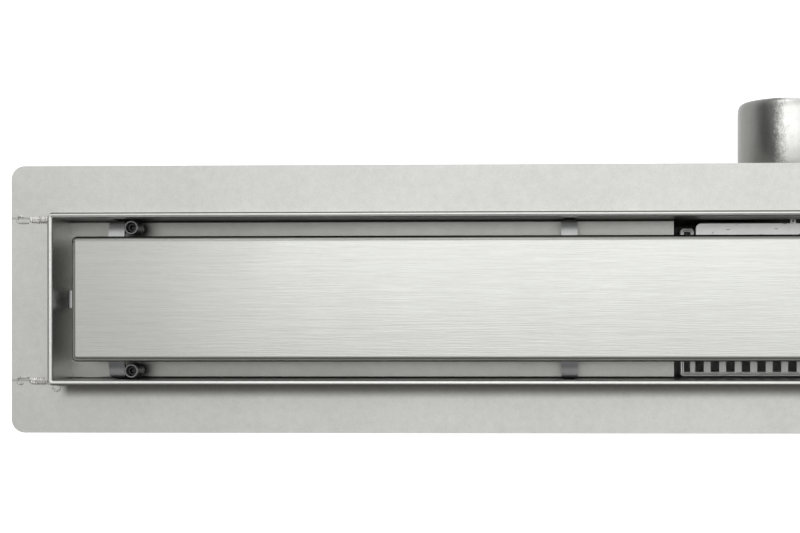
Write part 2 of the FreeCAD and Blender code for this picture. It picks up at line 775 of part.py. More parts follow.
def make_trap_lid():
    # Flat lid of the trap with a locating lug at the middle of its rear edge
    body = new_body("trap_lid")
    plan = new_sketch(body, "plan", "XY", out=lid_under)
    draw_outline(plan, rectangle(-lid_side, lid_side, -s.lid_front, lid_rear))
    pad(body, plan, s.lid_thickness)
    round_edges(body, along("z", (None, None)), s.lid_corner)
    lug = new_sketch(body, "lug", "XY", out=lid_under)
    lug_side = s.lug_size / 2
    draw_outline(lug, rectangle(-lug_side, lug_side, lid_rear, lid_rear + s.lug_reach))
    pad(body, lug, s.lid_thickness)
    hole = new_sketch(body, "lug_hole", "XY", out=lid_top)
    draw_circle(hole, 0, lid_rear + s.lug_reach / 2, s.lug_bore / 2)
    pocket(body, hole, s.lid_thickness)
    return body


def strainer_outline(inset):
    # The strainer's outline, a U open to the rear, drawn in by the given amount
    outside = arm_outside - inset
    inside = arm_inside + inset
    return [
        (-outside, strainer_front + inset),
        (outside, strainer_front + inset),
        (outside, strainer_rear - inset),
        (inside, strainer_rear - inset),
        (inside, strainer_notch - inset),
        (-inside, strainer_notch - inset),
        (-inside, strainer_rear - inset),
        (-outside, strainer_rear - inset),
    ]


def make_strainer():
    # Slotted tray with an upturned edge: a row of slots in front of the trap lid and a loop beside it
    body = new_body("strainer")
    plan = new_sketch(body, "plan", "XY", out=strainer_under)
    draw_outline(plan, strainer_outline(as_size(0)))
    pad(body, plan, s.strainer_sheet + s.lip_height)
    corners = along("z", *both(
        (arm_outside, strainer_front), (arm_outside, strainer_rear), (arm_inside, strainer_rear)))
    round_edges(body, corners, s.strainer_corner)
    tray = new_sketch(body, "tray", "XY", out=strainer_top + s.lip_height)
    draw_outline(tray, strainer_outline(s.lip_width))
    pocket(body, tray, s.lip_height)

    through = s.strainer_sheet + s.lip_height
    front = strainer_front + s.lip_width + s.slot_margin
    loops = new_sketch(body, "side_slots", "XY", out=strainer_top + s.lip_height)
    for side in (1, -1):
        draw_outline(loops, rectangle(
            side * (arm_inside + s.lip_width), side * (arm_outside - s.lip_width),
            front, strainer_rear - s.lip_width))
    pocket(body, loops, through)

    slot = new_sketch(body, "slot", "XY", out=strainer_top + s.lip_height)
    first = -(s.slot_pitch * (slot_count - 1) / 2)
    draw_outline(slot, rectangle(
        first - s.slot_width / 2, first + s.slot_width / 2,
        front, strainer_notch - s.lip_width - s.slot_margin))
    cut = pocket(body, slot, through)
    row = body.newObject("PartDesign::LinearPattern", "strainer_slots")
    row.Originals = [cut]
    row.Direction = (slot, ["H_Axis"])
    bind(row, "Length", s.slot_pitch * (slot_count - 1))
    bind(row, "Occurrences", slot_count)
    body.Tip = row
    doc.recompute()
    return body


def make_strainer_legs():
    # Two strips that stand on the sump floor and carry the strainer's front edge
    members = []
    half = s.strainer_leg / 2
    for side in (1, -1):
        number = len(members) + 1
        body = new_body("strainer_leg_%d" % number)
        face = new_sketch(body, "face", "XZ", out=-strainer_front)
        draw_outline(face, rectangle(-half, half, sump_floor, strainer_under))
        pad(body, face, s.strainer_sheet, reverse=True)
        round_edges(body, along("y", (half, sump_floor), (-half, sump_floor)), s.strainer_leg_corner)
        place(body, x=side * leg_place)
        members.append(body)
    return group("strainer_legs", members)


def make_foot_bracket(name, side):
    # Strip folded down on both sides of the trough, with a lug for a foot at each end
    body = new_body(name)
    section = new_sketch(body, "section", "YZ")
    inner = saddle - s.bracket_sheet
    draw_outline(section, mirrored_outline([
        (saddle, floor_under),
        (saddle, lug_top),
        (bracket_end, lug_top),
        (bracket_end, lug_under),
        (inner, lug_under),
        (inner, floor_under - s.bracket_sheet),
    ]))
    pad(body, section, s.bracket_width, symmetric=True)
    inside_bend = s.bracket_sheet / 2
    outside_bend = inside_bend + s.bracket_sheet
    round_edges(body, along("x", *both((saddle, floor_under), (inner, lug_under))), outside_bend)
    inner_folds = both((saddle, lug_top), (inner, floor_under - s.bracket_sheet))
    round_edges(body, along("x", *inner_folds), inside_bend)
    half = s.bracket_width / 2
    lug_corners = [
        (half * side_x, bracket_end * side_y) for side_x in (1, -1) for side_y in (1, -1)
    ]
    round_edges(body, along("z", *lug_corners), s.bracket_corner)
    holes = new_sketch(body, "rod_holes", "XY", out=lug_top)
    for side_y in (1, -1):
        draw_circle(holes, 0, side_y * foot_side, rod_radius + s.rod_clearance)
    pocket(body, holes, s.bracket_sheet)
    place(body, x=side * foot_station)
    return body


def make_foot_rod(name, side_x, side_y):
    # Threaded rod of a foot, from just under the flange down into the pad
    body = new_body(name)
    plan = new_sketch(body, "plan", "XY", out=rod_bottom)
    draw_circle(plan, 0, 0, rod_radius)
    pad(body, plan, flange_under - s.rod_top_gap - rod_bottom)
    place(body, x=side_x * foot_station, y=side_y * foot_side)
    return body


def make_foot_pad(name, side_x, side_y):
    # Round plastic pad with a boss that holds the rod
    body = new_body(name)
    profile = new_sketch(body, "profile", "XZ")
    boss = s.pad_boss / 2
    draw_outline(profile, [
        (0, ground),
        (s.pad_diameter / 2, ground),
        (s.pad_diameter / 2, ground + s.pad_edge),
        (boss, ground + 2 * s.pad_edge),
        (boss, ground + s.pad_height),
        (rod_radius, ground + s.pad_height),
        (rod_radius, rod_bottom),
        (0, rod_bottom),
    ])
    revolve(body, profile, "V_Axis")
    place(body, x=side_x * foot_station, y=side_y * foot_side)
    return body


def make_lock_nuts():
    # A thin nut above and below each bracket lug, eight in all
    members = []
    for side_x in (1, -1):
        for side_y in (1, -1):
            for level, bottom in (("upper", lug_top), ("lower", lug_under - s.nut_height)):
                number = len(members) + 1
                hexagon = doc.addObject("Part::Prism", "nut_%d_hexagon_%s" % (number, level))
                hexagon.Polygon = 6
                bind(hexagon, "Circumradius", s.nut_width / math.sqrt(3))
                bind(hexagon, "Height", s.nut_height)
                bore = doc.addObject("Part::Cylinder", "nut_%d_bore" % number)
                bind(bore, "Radius", rod_radius + s.rod_clearance)
                bind(bore, "Height", s.nut_height)
                for shape in (hexagon, bore):
                    place(shape, side_x * foot_station, side_y * foot_side, bottom)
                nut = doc.addObject("Part::Cut", "nut_%d" % number)
                nut.Base = hexagon
                nut.Tool = bore
                members.append(nut)
    return group("lock_nuts", members)


nodes = [
    make_channel(),
    make_end_plate("end_plate_left", -1),
    make_end_plate("end_plate_right", 1),
    make_corner_welds(),
    make_flange_welds(),
    make_sump(),
    make_pipe(),
    make_outlet_weld(),
    make_cover(),
    make_bridge("bridge_outer_left", -bridge_outer),
    make_bridge("bridge_inner_left", -bridge_inner),
    make_bridge("bridge_inner_right", bridge_inner),
    make_bridge("bridge_outer_right", bridge_outer),
    make_end_spacer("end_spacer_left", -1),
    make_end_spacer("end_spacer_right", 1),
    make_trap_body(),
    make_gasket(),
    make_trap_lid(),
    make_strainer(),
    make_strainer_legs(),
    make_foot_bracket("foot_bracket_left", -1),
    make_foot_bracket("foot_bracket_right", 1),
    make_lock_nuts(),
]
for side_x, place_x in ((-1, "left"), (1, "right")):
    for side_y, place_y in ((-1, "front"), (1, "rear")):
        corner = "%s_%s" % (place_y, place_x)
        nodes.append(make_sleeve("levelling_sleeve_" + corner, side_x, side_y))
        nodes.append(make_grub_screw("levelling_screw_" + corner, side_x, side_y))
        nodes.append(make_foot_rod("foot_rod_" + corner, side_x, side_y))
        nodes.append(make_foot_pad("foot_pad_" + corner, side_x, side_y))
doc.recompute()

for item in doc.Objects:
    if "Invalid" in item.State or "Error" in item.State:
        raise RuntimeError("%s failed: %s" % (item.Name, item.State))
for node in nodes:
    if node.Shape.isNull() or not node.Shape.isValid():
        raise RuntimeError("%s has no valid shape" % node.Label)

os.makedirs("parts", exist_ok=True)
for node in nodes:
    node.Shape.exportStep("parts/%s.step" % node.Label)
    print("%-28s %d solid(s) %10.1f mm3" % (node.Label, len(node.Shape.Solids), node.Shape.Volume))
print("%d nodes" % len(nodes))
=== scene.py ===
import bmesh
import bpy
import math
from mathutils import Matrix, Vector


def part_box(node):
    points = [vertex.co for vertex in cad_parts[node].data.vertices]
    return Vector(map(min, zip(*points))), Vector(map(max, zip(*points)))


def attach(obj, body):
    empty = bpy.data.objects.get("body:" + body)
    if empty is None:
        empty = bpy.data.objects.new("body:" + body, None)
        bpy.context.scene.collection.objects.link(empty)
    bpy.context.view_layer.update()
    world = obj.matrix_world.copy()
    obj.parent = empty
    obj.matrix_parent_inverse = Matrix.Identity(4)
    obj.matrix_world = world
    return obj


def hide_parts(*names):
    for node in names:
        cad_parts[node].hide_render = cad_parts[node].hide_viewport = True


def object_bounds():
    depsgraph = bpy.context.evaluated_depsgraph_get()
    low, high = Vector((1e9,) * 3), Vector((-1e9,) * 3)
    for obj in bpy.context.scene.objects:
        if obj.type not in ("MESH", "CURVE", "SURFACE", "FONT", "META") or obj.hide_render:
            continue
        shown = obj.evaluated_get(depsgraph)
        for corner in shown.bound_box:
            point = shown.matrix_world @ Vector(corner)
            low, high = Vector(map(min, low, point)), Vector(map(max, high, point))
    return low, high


# Linear drain seen from above: camera, floor and lamps first, then the pieces that need more than
# their CAD solid, then a finish for everything that shows.
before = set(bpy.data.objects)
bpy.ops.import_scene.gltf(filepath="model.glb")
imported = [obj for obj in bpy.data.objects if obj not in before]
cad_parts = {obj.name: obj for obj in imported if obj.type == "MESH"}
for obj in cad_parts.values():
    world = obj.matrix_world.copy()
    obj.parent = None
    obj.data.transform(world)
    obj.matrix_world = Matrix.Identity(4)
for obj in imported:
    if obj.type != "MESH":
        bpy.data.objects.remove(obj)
cadLow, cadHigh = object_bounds()
scene = bpy.context.scene
mm = 0.001
print("frame loaded:", len(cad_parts), "nodes")


# Camera
cameraSetup = {
    "place": (-0.0935, -0.007876, 0.500),
    "tilt": math.radians(1.5123),      # towards the drain's left end
    "roll": math.radians(-0.0593),
    "lens": 56.25,
    "sensor": 36.0,
    "shift": (-0.17, 0.064375),
}


def makeCamera(setup):
    data = bpy.data.cameras.new("photoCamera")
    data.lens = setup["lens"]
    data.sensor_width = setup["sensor"]
    data.shift_x, data.shift_y = setup["shift"]
    data.clip_start, data.clip_end = 0.01, 2000
    camera = bpy.data.objects.new("photoCamera", data)
    scene.collection.objects.link(camera)
    camera.rotation_mode = "ZYX"
    camera.rotation_euler = (0, setup["tilt"], setup["roll"])
    camera.location = setup["place"]
    scene.camera = camera


makeCamera(cameraSetup)
scene.view_settings.view_transform = "Standard"
print("camera set")


# Helpers for node trees
def addNode(tree, kind, values=None, **settings):
    node = tree.nodes.new(kind)
    for key, value in settings.items():
        setattr(node, key, value)
    for key, value in (values or {}).items():
        if isinstance(value, bpy.types.NodeSocket):
            tree.links.new(value, node.inputs[key])
        else:
            node.inputs[key].default_value = value
    return node


def mathNode(tree, operation, *values, clamp=False):
    kind = "ShaderNodeMath"
    node = addNode(tree, kind, dict(enumerate(values)), operation=operation, use_clamp=clamp)
    return node.outputs[0]


def mixColour(tree, factor, first, second, blend="MIX"):
    node = addNode(tree, "ShaderNodeMix", {0: factor}, data_type="RGBA", blend_type=blend)
    for socket, value in ((node.inputs[6], first), (node.inputs[7], second)):
        if isinstance(value, bpy.types.NodeSocket):
            tree.links.new(value, socket)
        else:
            socket.default_value = (*value, 1)
    return node.outputs[2]


def addInputs(tree, sockets):
    for name, kind, value in sockets:
        socket = tree.interface.new_socket(name, in_out="INPUT", socket_type=kind)
        if value is not None:
            socket.default_value = value


def addOutputs(tree, sockets):
    for name, kind in sockets:
        tree.interface.new_socket(name, in_out="OUTPUT", socket_type=kind)


# Floor and light
studio = {
    "floorSize": 900.0,
    "floorDrop": 12.0 * mm,       # the feet screw out this far below their place at rest
    "floorColour": (0.86, 0.86, 0.86, 1),
    "floorGlow": 0.74,
    "skyWall": (1.0, 1.0, 1.0, 1),       # pale studio wall round the floor
    "wallEdge": (0.16, 0.36),     # height of direction between which the wall fades out
    "skyFlag": (0.22, 0.22, 0.22, 1),     # dark flag above it on the front and left
    "skyOpen": (0.50, 0.50, 0.50, 1),     # the same height on the rear and right
    "skyHigh": (0.99, 0.995, 0.98, 1),
    "skyEdge": (0.64, 0.94),       # height of direction between which the bright ceiling fades in
    "skyLean": (0.05, 0.60),      # brighter towards the drain's middle and towards the outlet side
}
lamps = {
    # name: place, aimed at, width, depth, power in watts
    "keySoftbox": ((-0.35, 1.25, 1.05), (0.0, 0.0, 0.0), 0.9, 0.5, 2.8),
    "topSoftbox": ((0.79, 0.20, 1.50), (0.79, 0.20, 0.0), 2.9, 0.48, 4.3),
}


def makeFloor(setup):
    level = cadLow.z - setup["floorDrop"]
    half = setup["floorSize"] / 2
    mesh = bpy.data.meshes.new("floor")
    corners = [(-half, -half, level), (half, -half, level), (half, half, level), (-half, half, level)]
    mesh.from_pydata(corners, [], [(0, 1, 2, 3)])
    floor = bpy.data.objects.new("floor", mesh)
    scene.collection.objects.link(floor)
    material = bpy.data.materials.new("paleFloor")
    material.use_nodes = True
    tree = material.node_tree
    shader = tree.nodes["Principled BSDF"]
    shader.inputs["Base Color"].default_value = setup["floorColour"]
    shader.inputs["Roughness"].default_value = 0.9
    path = addNode(tree, "ShaderNodeLightPath")
    seen = mathNode(tree, "MAXIMUM", path.outputs["Is Camera Ray"], path.outputs["Is Glossy Ray"])
    seen = mathNode(tree, "MAXIMUM", seen, path.outputs["Is Transmission Ray"])
    glow = mathNode(tree, "MULTIPLY", seen, setup["floorGlow"])
    shader.inputs["Emission Color"].default_value = (1, 1, 1, 1)
    tree.links.new(glow, shader.inputs["Emission Strength"])
    mesh.materials.append(material)


def makeSky(setup):
    world = bpy.data.worlds.new("studioLight")
    scene.world = world
    world.use_nodes = True
    tree = world.node_tree
    coords = addNode(tree, "ShaderNodeTexCoord")
    parts = addNode(tree, "ShaderNodeSeparateXYZ", {0: coords.outputs["Generated"]}).outputs
    along = mathNode(tree, "MULTIPLY", parts["X"], setup["skyLean"][0])
    aside = mathNode(tree, "MULTIPLY", parts["Y"], setup["skyLean"][1])
    height = mathNode(tree, "ADD", mathNode(tree, "ADD", parts["Z"], along), aside)
    rise = addNode(tree, "ShaderNodeMapRange", {
        "Value": height, "From Min": setup["skyEdge"][0], "From Max": setup["skyEdge"][1]},
        interpolation_type="SMOOTHSTEP")
    turn = addNode(tree, "ShaderNodeMapRange", {
        "Value": mathNode(tree, "ADD", parts["X"], parts["Y"]), "From Min": 0.0, "From Max": 0.9})
    flag = mixColour(tree, turn.outputs[0], setup["skyFlag"][:3], setup["skyOpen"][:3])
    wall = addNode(tree, "ShaderNodeMapRange", {
        "Value": parts["Z"], "From Min": setup["wallEdge"][0], "From Max": setup["wallEdge"][1]},
        interpolation_type="SMOOTHSTEP")
    low = mixColour(tree, wall.outputs[0], setup["skyWall"][:3], flag)
    colour = mixColour(tree, rise.outputs[0], low, setup["skyHigh"][:3])
    tree.links.new(colour, tree.nodes["Background"].inputs["Color"])


def makeLamps(setup):
    for name, (place, target, width, depth, power) in setup.items():
        data = bpy.data.lights.new(name, "AREA")
        data.shape = "RECTANGLE"
        data.size, data.size_y = width, depth
        data.energy = power
        lamp = bpy.data.objects.new(name, data)
        scene.collection.objects.link(lamp)
        lamp.location = place
        aim = Vector(target) - Vector(place)
        lamp.rotation_euler = aim.to_track_quat("-Z", "Y").to_euler()


makeFloor(studio)
makeSky(studio)
makeLamps(lamps)
print("floor and light set")


# Geometry trees
def startTree(name, sockets):
    tree = bpy.data.node_groups.new(name, "GeometryNodeTree")
    addInputs(tree, [("Geometry", "NodeSocketGeometry", None)] + sockets)
    addOutputs(tree, [("Geometry", "NodeSocketGeometry")])
    return tree, addNode(tree, "NodeGroupInput").outputs


def endTree(tree, geometry, material):
    real = addNode(tree, "GeometryNodeRealizeInstances", {0: geometry})
    finished = addNode(tree, "GeometryNodeSetMaterial", {"Geometry": real.outputs[0], "Material": material})
    addNode(tree, "NodeGroupOutput", {0: finished.outputs[0]})
    return tree


def sweptTube(tree, curve, step, sides):
    # A tube of radius 1 m along the curve, with its line's points, length and total kept on it
    fine = addNode(tree, "GeometryNodeResampleCurve", {"Curve": curve, "Length": step}, mode="LENGTH")
    spline = addNode(tree, "GeometryNodeSplineParameter")
    total = addNode(tree, "GeometryNodeSplineLength")
    place = addNode(tree, "GeometryNodeInputPosition")
    kept = addNode(tree, "GeometryNodeCaptureAttribute", domain="POINT")
    for kind, name in (("VECTOR", "centre"), ("FLOAT", "run"), ("FLOAT", "whole")):
        kept.capture_items.new(kind, name)
    tree.links.new(fine.outputs[0], kept.inputs[0])
    for index, source in enumerate((place.outputs[0], spline.outputs["Length"], total.outputs["Length"])):
        tree.links.new(source, kept.inputs[index + 1])
    ring = addNode(tree, "GeometryNodeCurvePrimitiveCircle", {"Resolution": sides, "Radius": 1.0})
    tube = addNode(tree, "GeometryNodeCurveToMesh", {
        "Curve": kept.outputs[0], "Profile Curve": ring.outputs[0], "Fill Caps": True})
    where = addNode(tree, "GeometryNodeInputPosition").outputs[0]
    side = addNode(tree, "ShaderNodeVectorMath", {0: where, 1: kept.outputs[1]}, operation="SUBTRACT")
    return tube.outputs[0], kept.outputs[1], kept.outputs[2], kept.outputs[3], side.outputs[0]


def makeBeadTree():
    # Weld bead along a curve: overlapping crescent ripples, rounded ends, a little wander in width
    tree, given = startTree("weldBead", [
        ("Width", "NodeSocketFloat", 2.2 * mm),
        ("Height", "NodeSocketFloat", 0.6 * mm),
        ("Ripple Pitch", "NodeSocketFloat", 0.8 * mm),
        ("Ripple Depth", "NodeSocketFloat", 0.3),
        ("Bow", "NodeSocketFloat", 0.6),
        ("Seed", "NodeSocketFloat", 1.0),
        ("Material", "NodeSocketMaterial", None),
    ])
    step = mathNode(tree, "DIVIDE", given["Ripple Pitch"], 7.0)
    tube, centre, run, whole, side = sweptTube(tree, given["Geometry"], step, 18)
    parts = addNode(tree, "ShaderNodeSeparateXYZ", {0: side})
    across = mathNode(tree, "ADD", mathNode(tree, "MULTIPLY", parts.outputs[0], parts.outputs[0]),
                      mathNode(tree, "MULTIPLY", parts.outputs[1], parts.outputs[1]))
    phase = mathNode(tree, "ADD", mathNode(tree, "DIVIDE", run, given["Ripple Pitch"]),
                     mathNode(tree, "MULTIPLY", across, given["Bow"]))
    wave = mathNode(tree, "ABSOLUTE", mathNode(tree, "SINE", mathNode(tree, "MULTIPLY", phase, math.pi)))
    dent = mathNode(tree, "MULTIPLY", mathNode(tree, "SUBTRACT", 1.0, wave), given["Ripple Depth"])
    swell = mathNode(tree, "SUBTRACT", 1.0, dent)
    wander = addNode(tree, "ShaderNodeTexNoise", {
        "Vector": centre, "W": given["Seed"], "Scale": 420.0, "Detail": 1.0}, noise_dimensions="4D")
    wander = mathNode(tree, "ADD", mathNode(tree, "MULTIPLY", wander.outputs[0], 0.5), 0.75)
    swell = mathNode(tree, "MULTIPLY", swell, wander)
    toEnd = mathNode(tree, "MINIMUM", run, mathNode(tree, "SUBTRACT", whole, run))
    half = mathNode(tree, "DIVIDE", given["Width"], 2.0)
    near = mathNode(tree, "DIVIDE", toEnd, half, clamp=True)
    rest = mathNode(tree, "SUBTRACT", 1.0, near)
    rounded = mathNode(tree, "SQRT", mathNode(tree, "SUBTRACT", 1.0, mathNode(tree, "MULTIPLY", rest, rest)))
    swell = mathNode(tree, "MULTIPLY", swell, mathNode(tree, "MAXIMUM", rounded, 0.02))
    flat = mathNode(tree, "MULTIPLY", swell, half)
    tall = mathNode(tree, "MULTIPLY", swell, given["Height"])
    size = addNode(tree, "ShaderNodeCombineXYZ", {0: flat, 1: flat, 2: tall})
    offset = addNode(tree, "ShaderNodeVectorMath", {0: side, 1: size.outputs[0]}, operation="MULTIPLY")
    spot = addNode(tree, "ShaderNodeVectorMath", {0: centre, 1: offset.outputs[0]}, operation="ADD")
    moved = addNode(tree, "GeometryNodeSetPosition", {"Geometry": tube, "Position": spot.outputs[0]})
    return endTree(tree, moved.outputs[0], given["Material"])


def makeThreadTree():
    # Threaded shank along an upright line: one helical groove, chamfered ends
    tree, given = startTree("threadedShank", [
        ("Radius", "NodeSocketFloat", 3.9 * mm),
        ("Thread Pitch", "NodeSocketFloat", 1.25 * mm),
        ("Thread Depth", "NodeSocketFloat", 0.65 * mm),
        ("Chamfer", "NodeSocketFloat", 0.8 * mm),
        ("Material", "NodeSocketMaterial", None),
    ])
    step = mathNode(tree, "DIVIDE", given["Thread Pitch"], 6.0)
    tube, centre, run, whole, side = sweptTube(tree, given["Geometry"], step, 22)
    parts = addNode(tree, "ShaderNodeSeparateXYZ", {0: side})
    turn = mathNode(tree, "DIVIDE", mathNode(tree, "ARCTAN2", parts.outputs[1], parts.outputs[0]), 2 * math.pi)
    phase = mathNode(tree, "SUBTRACT", mathNode(tree, "DIVIDE", run, given["Thread Pitch"]), turn)
    tooth = mathNode(tree, "PINGPONG", phase, 0.5)
    tooth = addNode(tree, "ShaderNodeMapRange", {
        "Value": tooth, "From Min": 0.07, "From Max": 0.43}).outputs[0]
    radius = mathNode(tree, "SUBTRACT", given["Radius"], mathNode(tree, "MULTIPLY", tooth, given["Thread Depth"]))
    toEnd = mathNode(tree, "MINIMUM", run, mathNode(tree, "SUBTRACT", whole, run))
    limit = mathNode(tree, "ADD", mathNode(tree, "SUBTRACT", given["Radius"], given["Chamfer"]), toEnd)
    radius = mathNode(tree, "MINIMUM", radius, limit)
    offset = addNode(tree, "ShaderNodeVectorMath", {0: side, "Scale": radius}, operation="SCALE")
    spot = addNode(tree, "ShaderNodeVectorMath", {0: centre, 1: offset.outputs[0]}, operation="ADD")
    moved = addNode(tree, "GeometryNodeSetPosition", {"Geometry": tube, "Position": spot.outputs[0]})
    return endTree(tree, moved.outputs[0], given["Material"])


def makeEdgeTree():
    # Round rolled edge along a curve
    tree, given = startTree("rolledEdge", [
        ("Radius", "NodeSocketFloat", 0.3 * mm),
        ("Step", "NodeSocketFloat", 0.5 * mm),
        ("Material", "NodeSocketMaterial", None),
    ])
    tube, centre, run, whole, side = sweptTube(tree, given["Geometry"], given["Step"], 10)
    offset = addNode(tree, "ShaderNodeVectorMath", {0: side, "Scale": given["Radius"]}, operation="SCALE")
    spot = addNode(tree, "ShaderNodeVectorMath", {0: centre, 1: offset.outputs[0]}, operation="ADD")
    moved = addNode(tree, "GeometryNodeSetPosition", {"Geometry": tube, "Position": spot.outputs[0]})
    return endTree(tree, moved.outputs[0], given["Material"])


def makeCopyTree():
    # One piece set on every point of a mesh, turned step by step round the upright axis
    tree, given = startTree("copiesOnPoints", [
        ("Piece", "NodeSocketObject", None),
        ("Turn", "NodeSocketFloat", 0.0),
        ("Material", "NodeSocketMaterial", None),
    ])
    piece = addNode(tree, "GeometryNodeObjectInfo", {"Object": given["Piece"]})
    index = addNode(tree, "GeometryNodeInputIndex").outputs[0]
    angle = mathNode(tree, "MULTIPLY", index, given["Turn"])
    turned = addNode(tree, "ShaderNodeCombineXYZ", {2: angle})
    copies = addNode(tree, "GeometryNodeInstanceOnPoints", {
        "Points": given["Geometry"], "Instance": piece.outputs["Geometry"], "Rotation": turned.outputs[0]})
    return endTree(tree, copies.outputs[0], given["Material"])


beadTree = makeBeadTree()
threadTree = makeThreadTree()
copyTree = makeCopyTree()
edgeTree = makeEdgeTree()


def grow(source, tree, values):
    # Runs a tree on an object and gives the result as a plain mesh, the object removed
    scene.collection.objects.link(source)
    modifier = source.modifiers.new("grow", "NODES")
    modifier.node_group = tree
    for item in tree.interface.items_tree:
        if item.item_type == "SOCKET" and item.in_out == "INPUT" and item.name in values:
            modifier[item.identifier] = values[item.name]
    graph = bpy.context.evaluated_depsgraph_get()
    mesh = bpy.data.meshes.new_from_object(source.evaluated_get(graph))
    source.modifiers.remove(modifier)
    bpy.data.objects.remove(source)
    return mesh


def lineCurve(name, runs):
    # Open or closed runs of straight pieces: a list of (points, closed)
    curve = bpy.data.curves.new(name, "CURVE")
    curve.dimensions = "3D"
    for points, closed in runs:
        spline = curve.splines.new("POLY")
        spline.points.add(len(points) - 1)
        for point, spot in zip(spline.points, points):
            point.co = (*spot, 1)
        spline.use_cyclic_u = closed
    return bpy.data.objects.new(name, curve)


def arcPoints(centre, radius, start, finish, count, axis="z"):
    points = []
    for step in range(count):
        angle = math.radians(start + (finish - start) * step / (count - 1))
        a, b = radius * math.cos(angle), radius * math.sin(angle)
        offset = (a, b, 0) if axis == "z" else (a, 0, b)
        points.append(Vector(centre) + Vector(offset))
    return points


def skinRings(name, rings, closeStart=True, closeEnd=True):
    # Rings run anticlockwise seen from the side they climb to, so that faces look outwards
    points = [spot for ring in rings for spot in ring]
    count = len(rings[0])
    faces = []
    for level in range(len(rings) - 1):
        for side in range(count):
            following = (side + 1) % count
            faces.append((level * count + side, level * count + following,
                          (level + 1) * count + following, (level + 1) * count + side))
    if closeStart:
        faces.append(tuple(reversed(range(count))))
    if closeEnd:
        faces.append(tuple(range((len(rings) - 1) * count, len(rings) * count)))
    mesh = bpy.data.meshes.new(name)
    mesh.from_pydata([tuple(spot) for spot in points], [], faces)
    return mesh


def roundRing(radius, height, count):
    return [(radius * math.cos(2 * math.pi * k / count), radius * math.sin(2 * math.pi * k / count), height)
            for k in range(count)]


def hexRing(flats, height, count, limit=1.0):
    # A hexagon drawn with count points, cut back to a circle of the limit's radius
    ring = []
    for k in range(count):
        angle = 2 * math.pi * k / count
        reach = flats / 2 / math.cos((angle + math.pi / 6) % (math.pi / 3) - math.pi / 6)
        reach = min(reach, limit)
        ring.append((reach * math.cos(angle), reach * math.sin(angle), height))
    return ring


def joinMeshes(name, meshes):
    points, faces = [], []
    for mesh in meshes:
        start = len(points)
        points += [tuple(vertex.co) for vertex in mesh.vertices]
        faces += [tuple(start + index for index in face.vertices) for face in mesh.polygons]
    joined = bpy.data.meshes.new(name)
    joined.from_pydata(points, [], faces)
    return joined


def fixNormals(mesh):
    # Merges the first and last ring of a closed skin and turns every face outwards
    shell = bmesh.new()
    shell.from_mesh(mesh)
    bmesh.ops.remove_doubles(shell, verts=shell.verts, dist=1e-7)
    bmesh.ops.recalc_face_normals(shell, faces=shell.faces)
    shell.to_mesh(mesh)
    shell.free()


def finishPiece(name, mesh, material, body, replaced, smoothAngle=30):
    # Puts a plain mesh into the scene as a piece that rides on a body and stands for CAD nodes
    mesh.name = name
    mesh.materials.clear()
    mesh.materials.append(material)
    mesh.shade_smooth()
    mesh.set_sharp_from_angle(angle=math.radians(smoothAngle))
    piece = bpy.data.objects.new(name, mesh)
    scene.collection.objects.link(piece)
    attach(piece, body)
    if replaced:
        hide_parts(*replaced)
    return piece


print("geometry trees built")


# Shared shader groups
def startGroup(name, inputs, outputs):
    group = bpy.data.node_groups.new(name, "ShaderNodeTree")
    addInputs(group, inputs)
    addOutputs(group, outputs)
    return group, addNode(group, "NodeGroupInput").outputs


def makeGrainGroup():
    # Brushing: fine streaks that follow the axis with the small stretch value
    group, given = startGroup("brushedGrain", [
        ("Vector", "NodeSocketVector", None),
        ("Stretch", "NodeSocketVector", (60, 2200, 2200)),
        ("Contrast", "NodeSocketFloat", 0.5),
    ], [("Tone", "NodeSocketFloat"), ("Height", "NodeSocketFloat")])
    scaled = addNode(group, "ShaderNodeVectorMath", {0: given["Vector"], 1: given["Stretch"]}, operation="MULTIPLY")
    fine = addNode(group, "ShaderNodeTexNoise", {
        "Vector": scaled.outputs[0], "Scale": 1.0, "Detail": 3.0, "Roughness": 0.65})
    broad = addNode(group, "ShaderNodeVectorMath", {0: scaled.outputs[0], 1: (0.22, 0.22, 0.22)}, operation="MULTIPLY")
    wide = addNode(group, "ShaderNodeTexNoise", {
        "Vector": broad.outputs[0], "Scale": 1.0, "Detail": 2.0, "Roughness": 0.5})
    both = mathNode(group, "ADD", mathNode(group, "MULTIPLY", fine.outputs[0], 0.65),
                    mathNode(group, "MULTIPLY", wide.outputs[0], 0.35))
    centred = mathNode(group, "SUBTRACT", both, 0.5)
    tone = mathNode(group, "ADD", mathNode(group, "MULTIPLY", centred, given["Contrast"]), 0.5, clamp=True)
    addNode(group, "NodeGroupOutput", {0: tone, 1: both})
    return group


def makeMottleGroup():
    # Soft cloudy change of tone, as rolled and handled sheet shows
    group, given = startGroup("sheetMottle", [
        ("Vector", "NodeSocketVector", None),
        ("Scale", "NodeSocketFloat", 40.0),
        ("Contrast", "NodeSocketFloat", 0.6),
    ], [("Tone", "NodeSocketFloat")])
    cloud = addNode(group, "ShaderNodeTexNoise", {
        "Vector": given["Vector"], "Scale": given["Scale"], "Detail": 4.0, "Roughness": 0.55})
    centred = mathNode(group, "SUBTRACT", cloud.outputs[0], 0.5)
    tone = mathNode(group, "ADD", mathNode(group, "MULTIPLY", centred, given["Contrast"]), 0.5, clamp=True)
    addNode(group, "NodeGroupOutput", {0: tone})
    return group


grainGroup = makeGrainGroup()
mottleGroup = makeMottleGroup()


def placeGroup(tree, group, values):
    node = tree.nodes.new("ShaderNodeGroup")
    node.node_tree = group
    for key, value in values.items():
        if isinstance(value, bpy.types.NodeSocket):
            tree.links.new(value, node.inputs[key])
        else:
            node.inputs[key].default_value = value
    return node


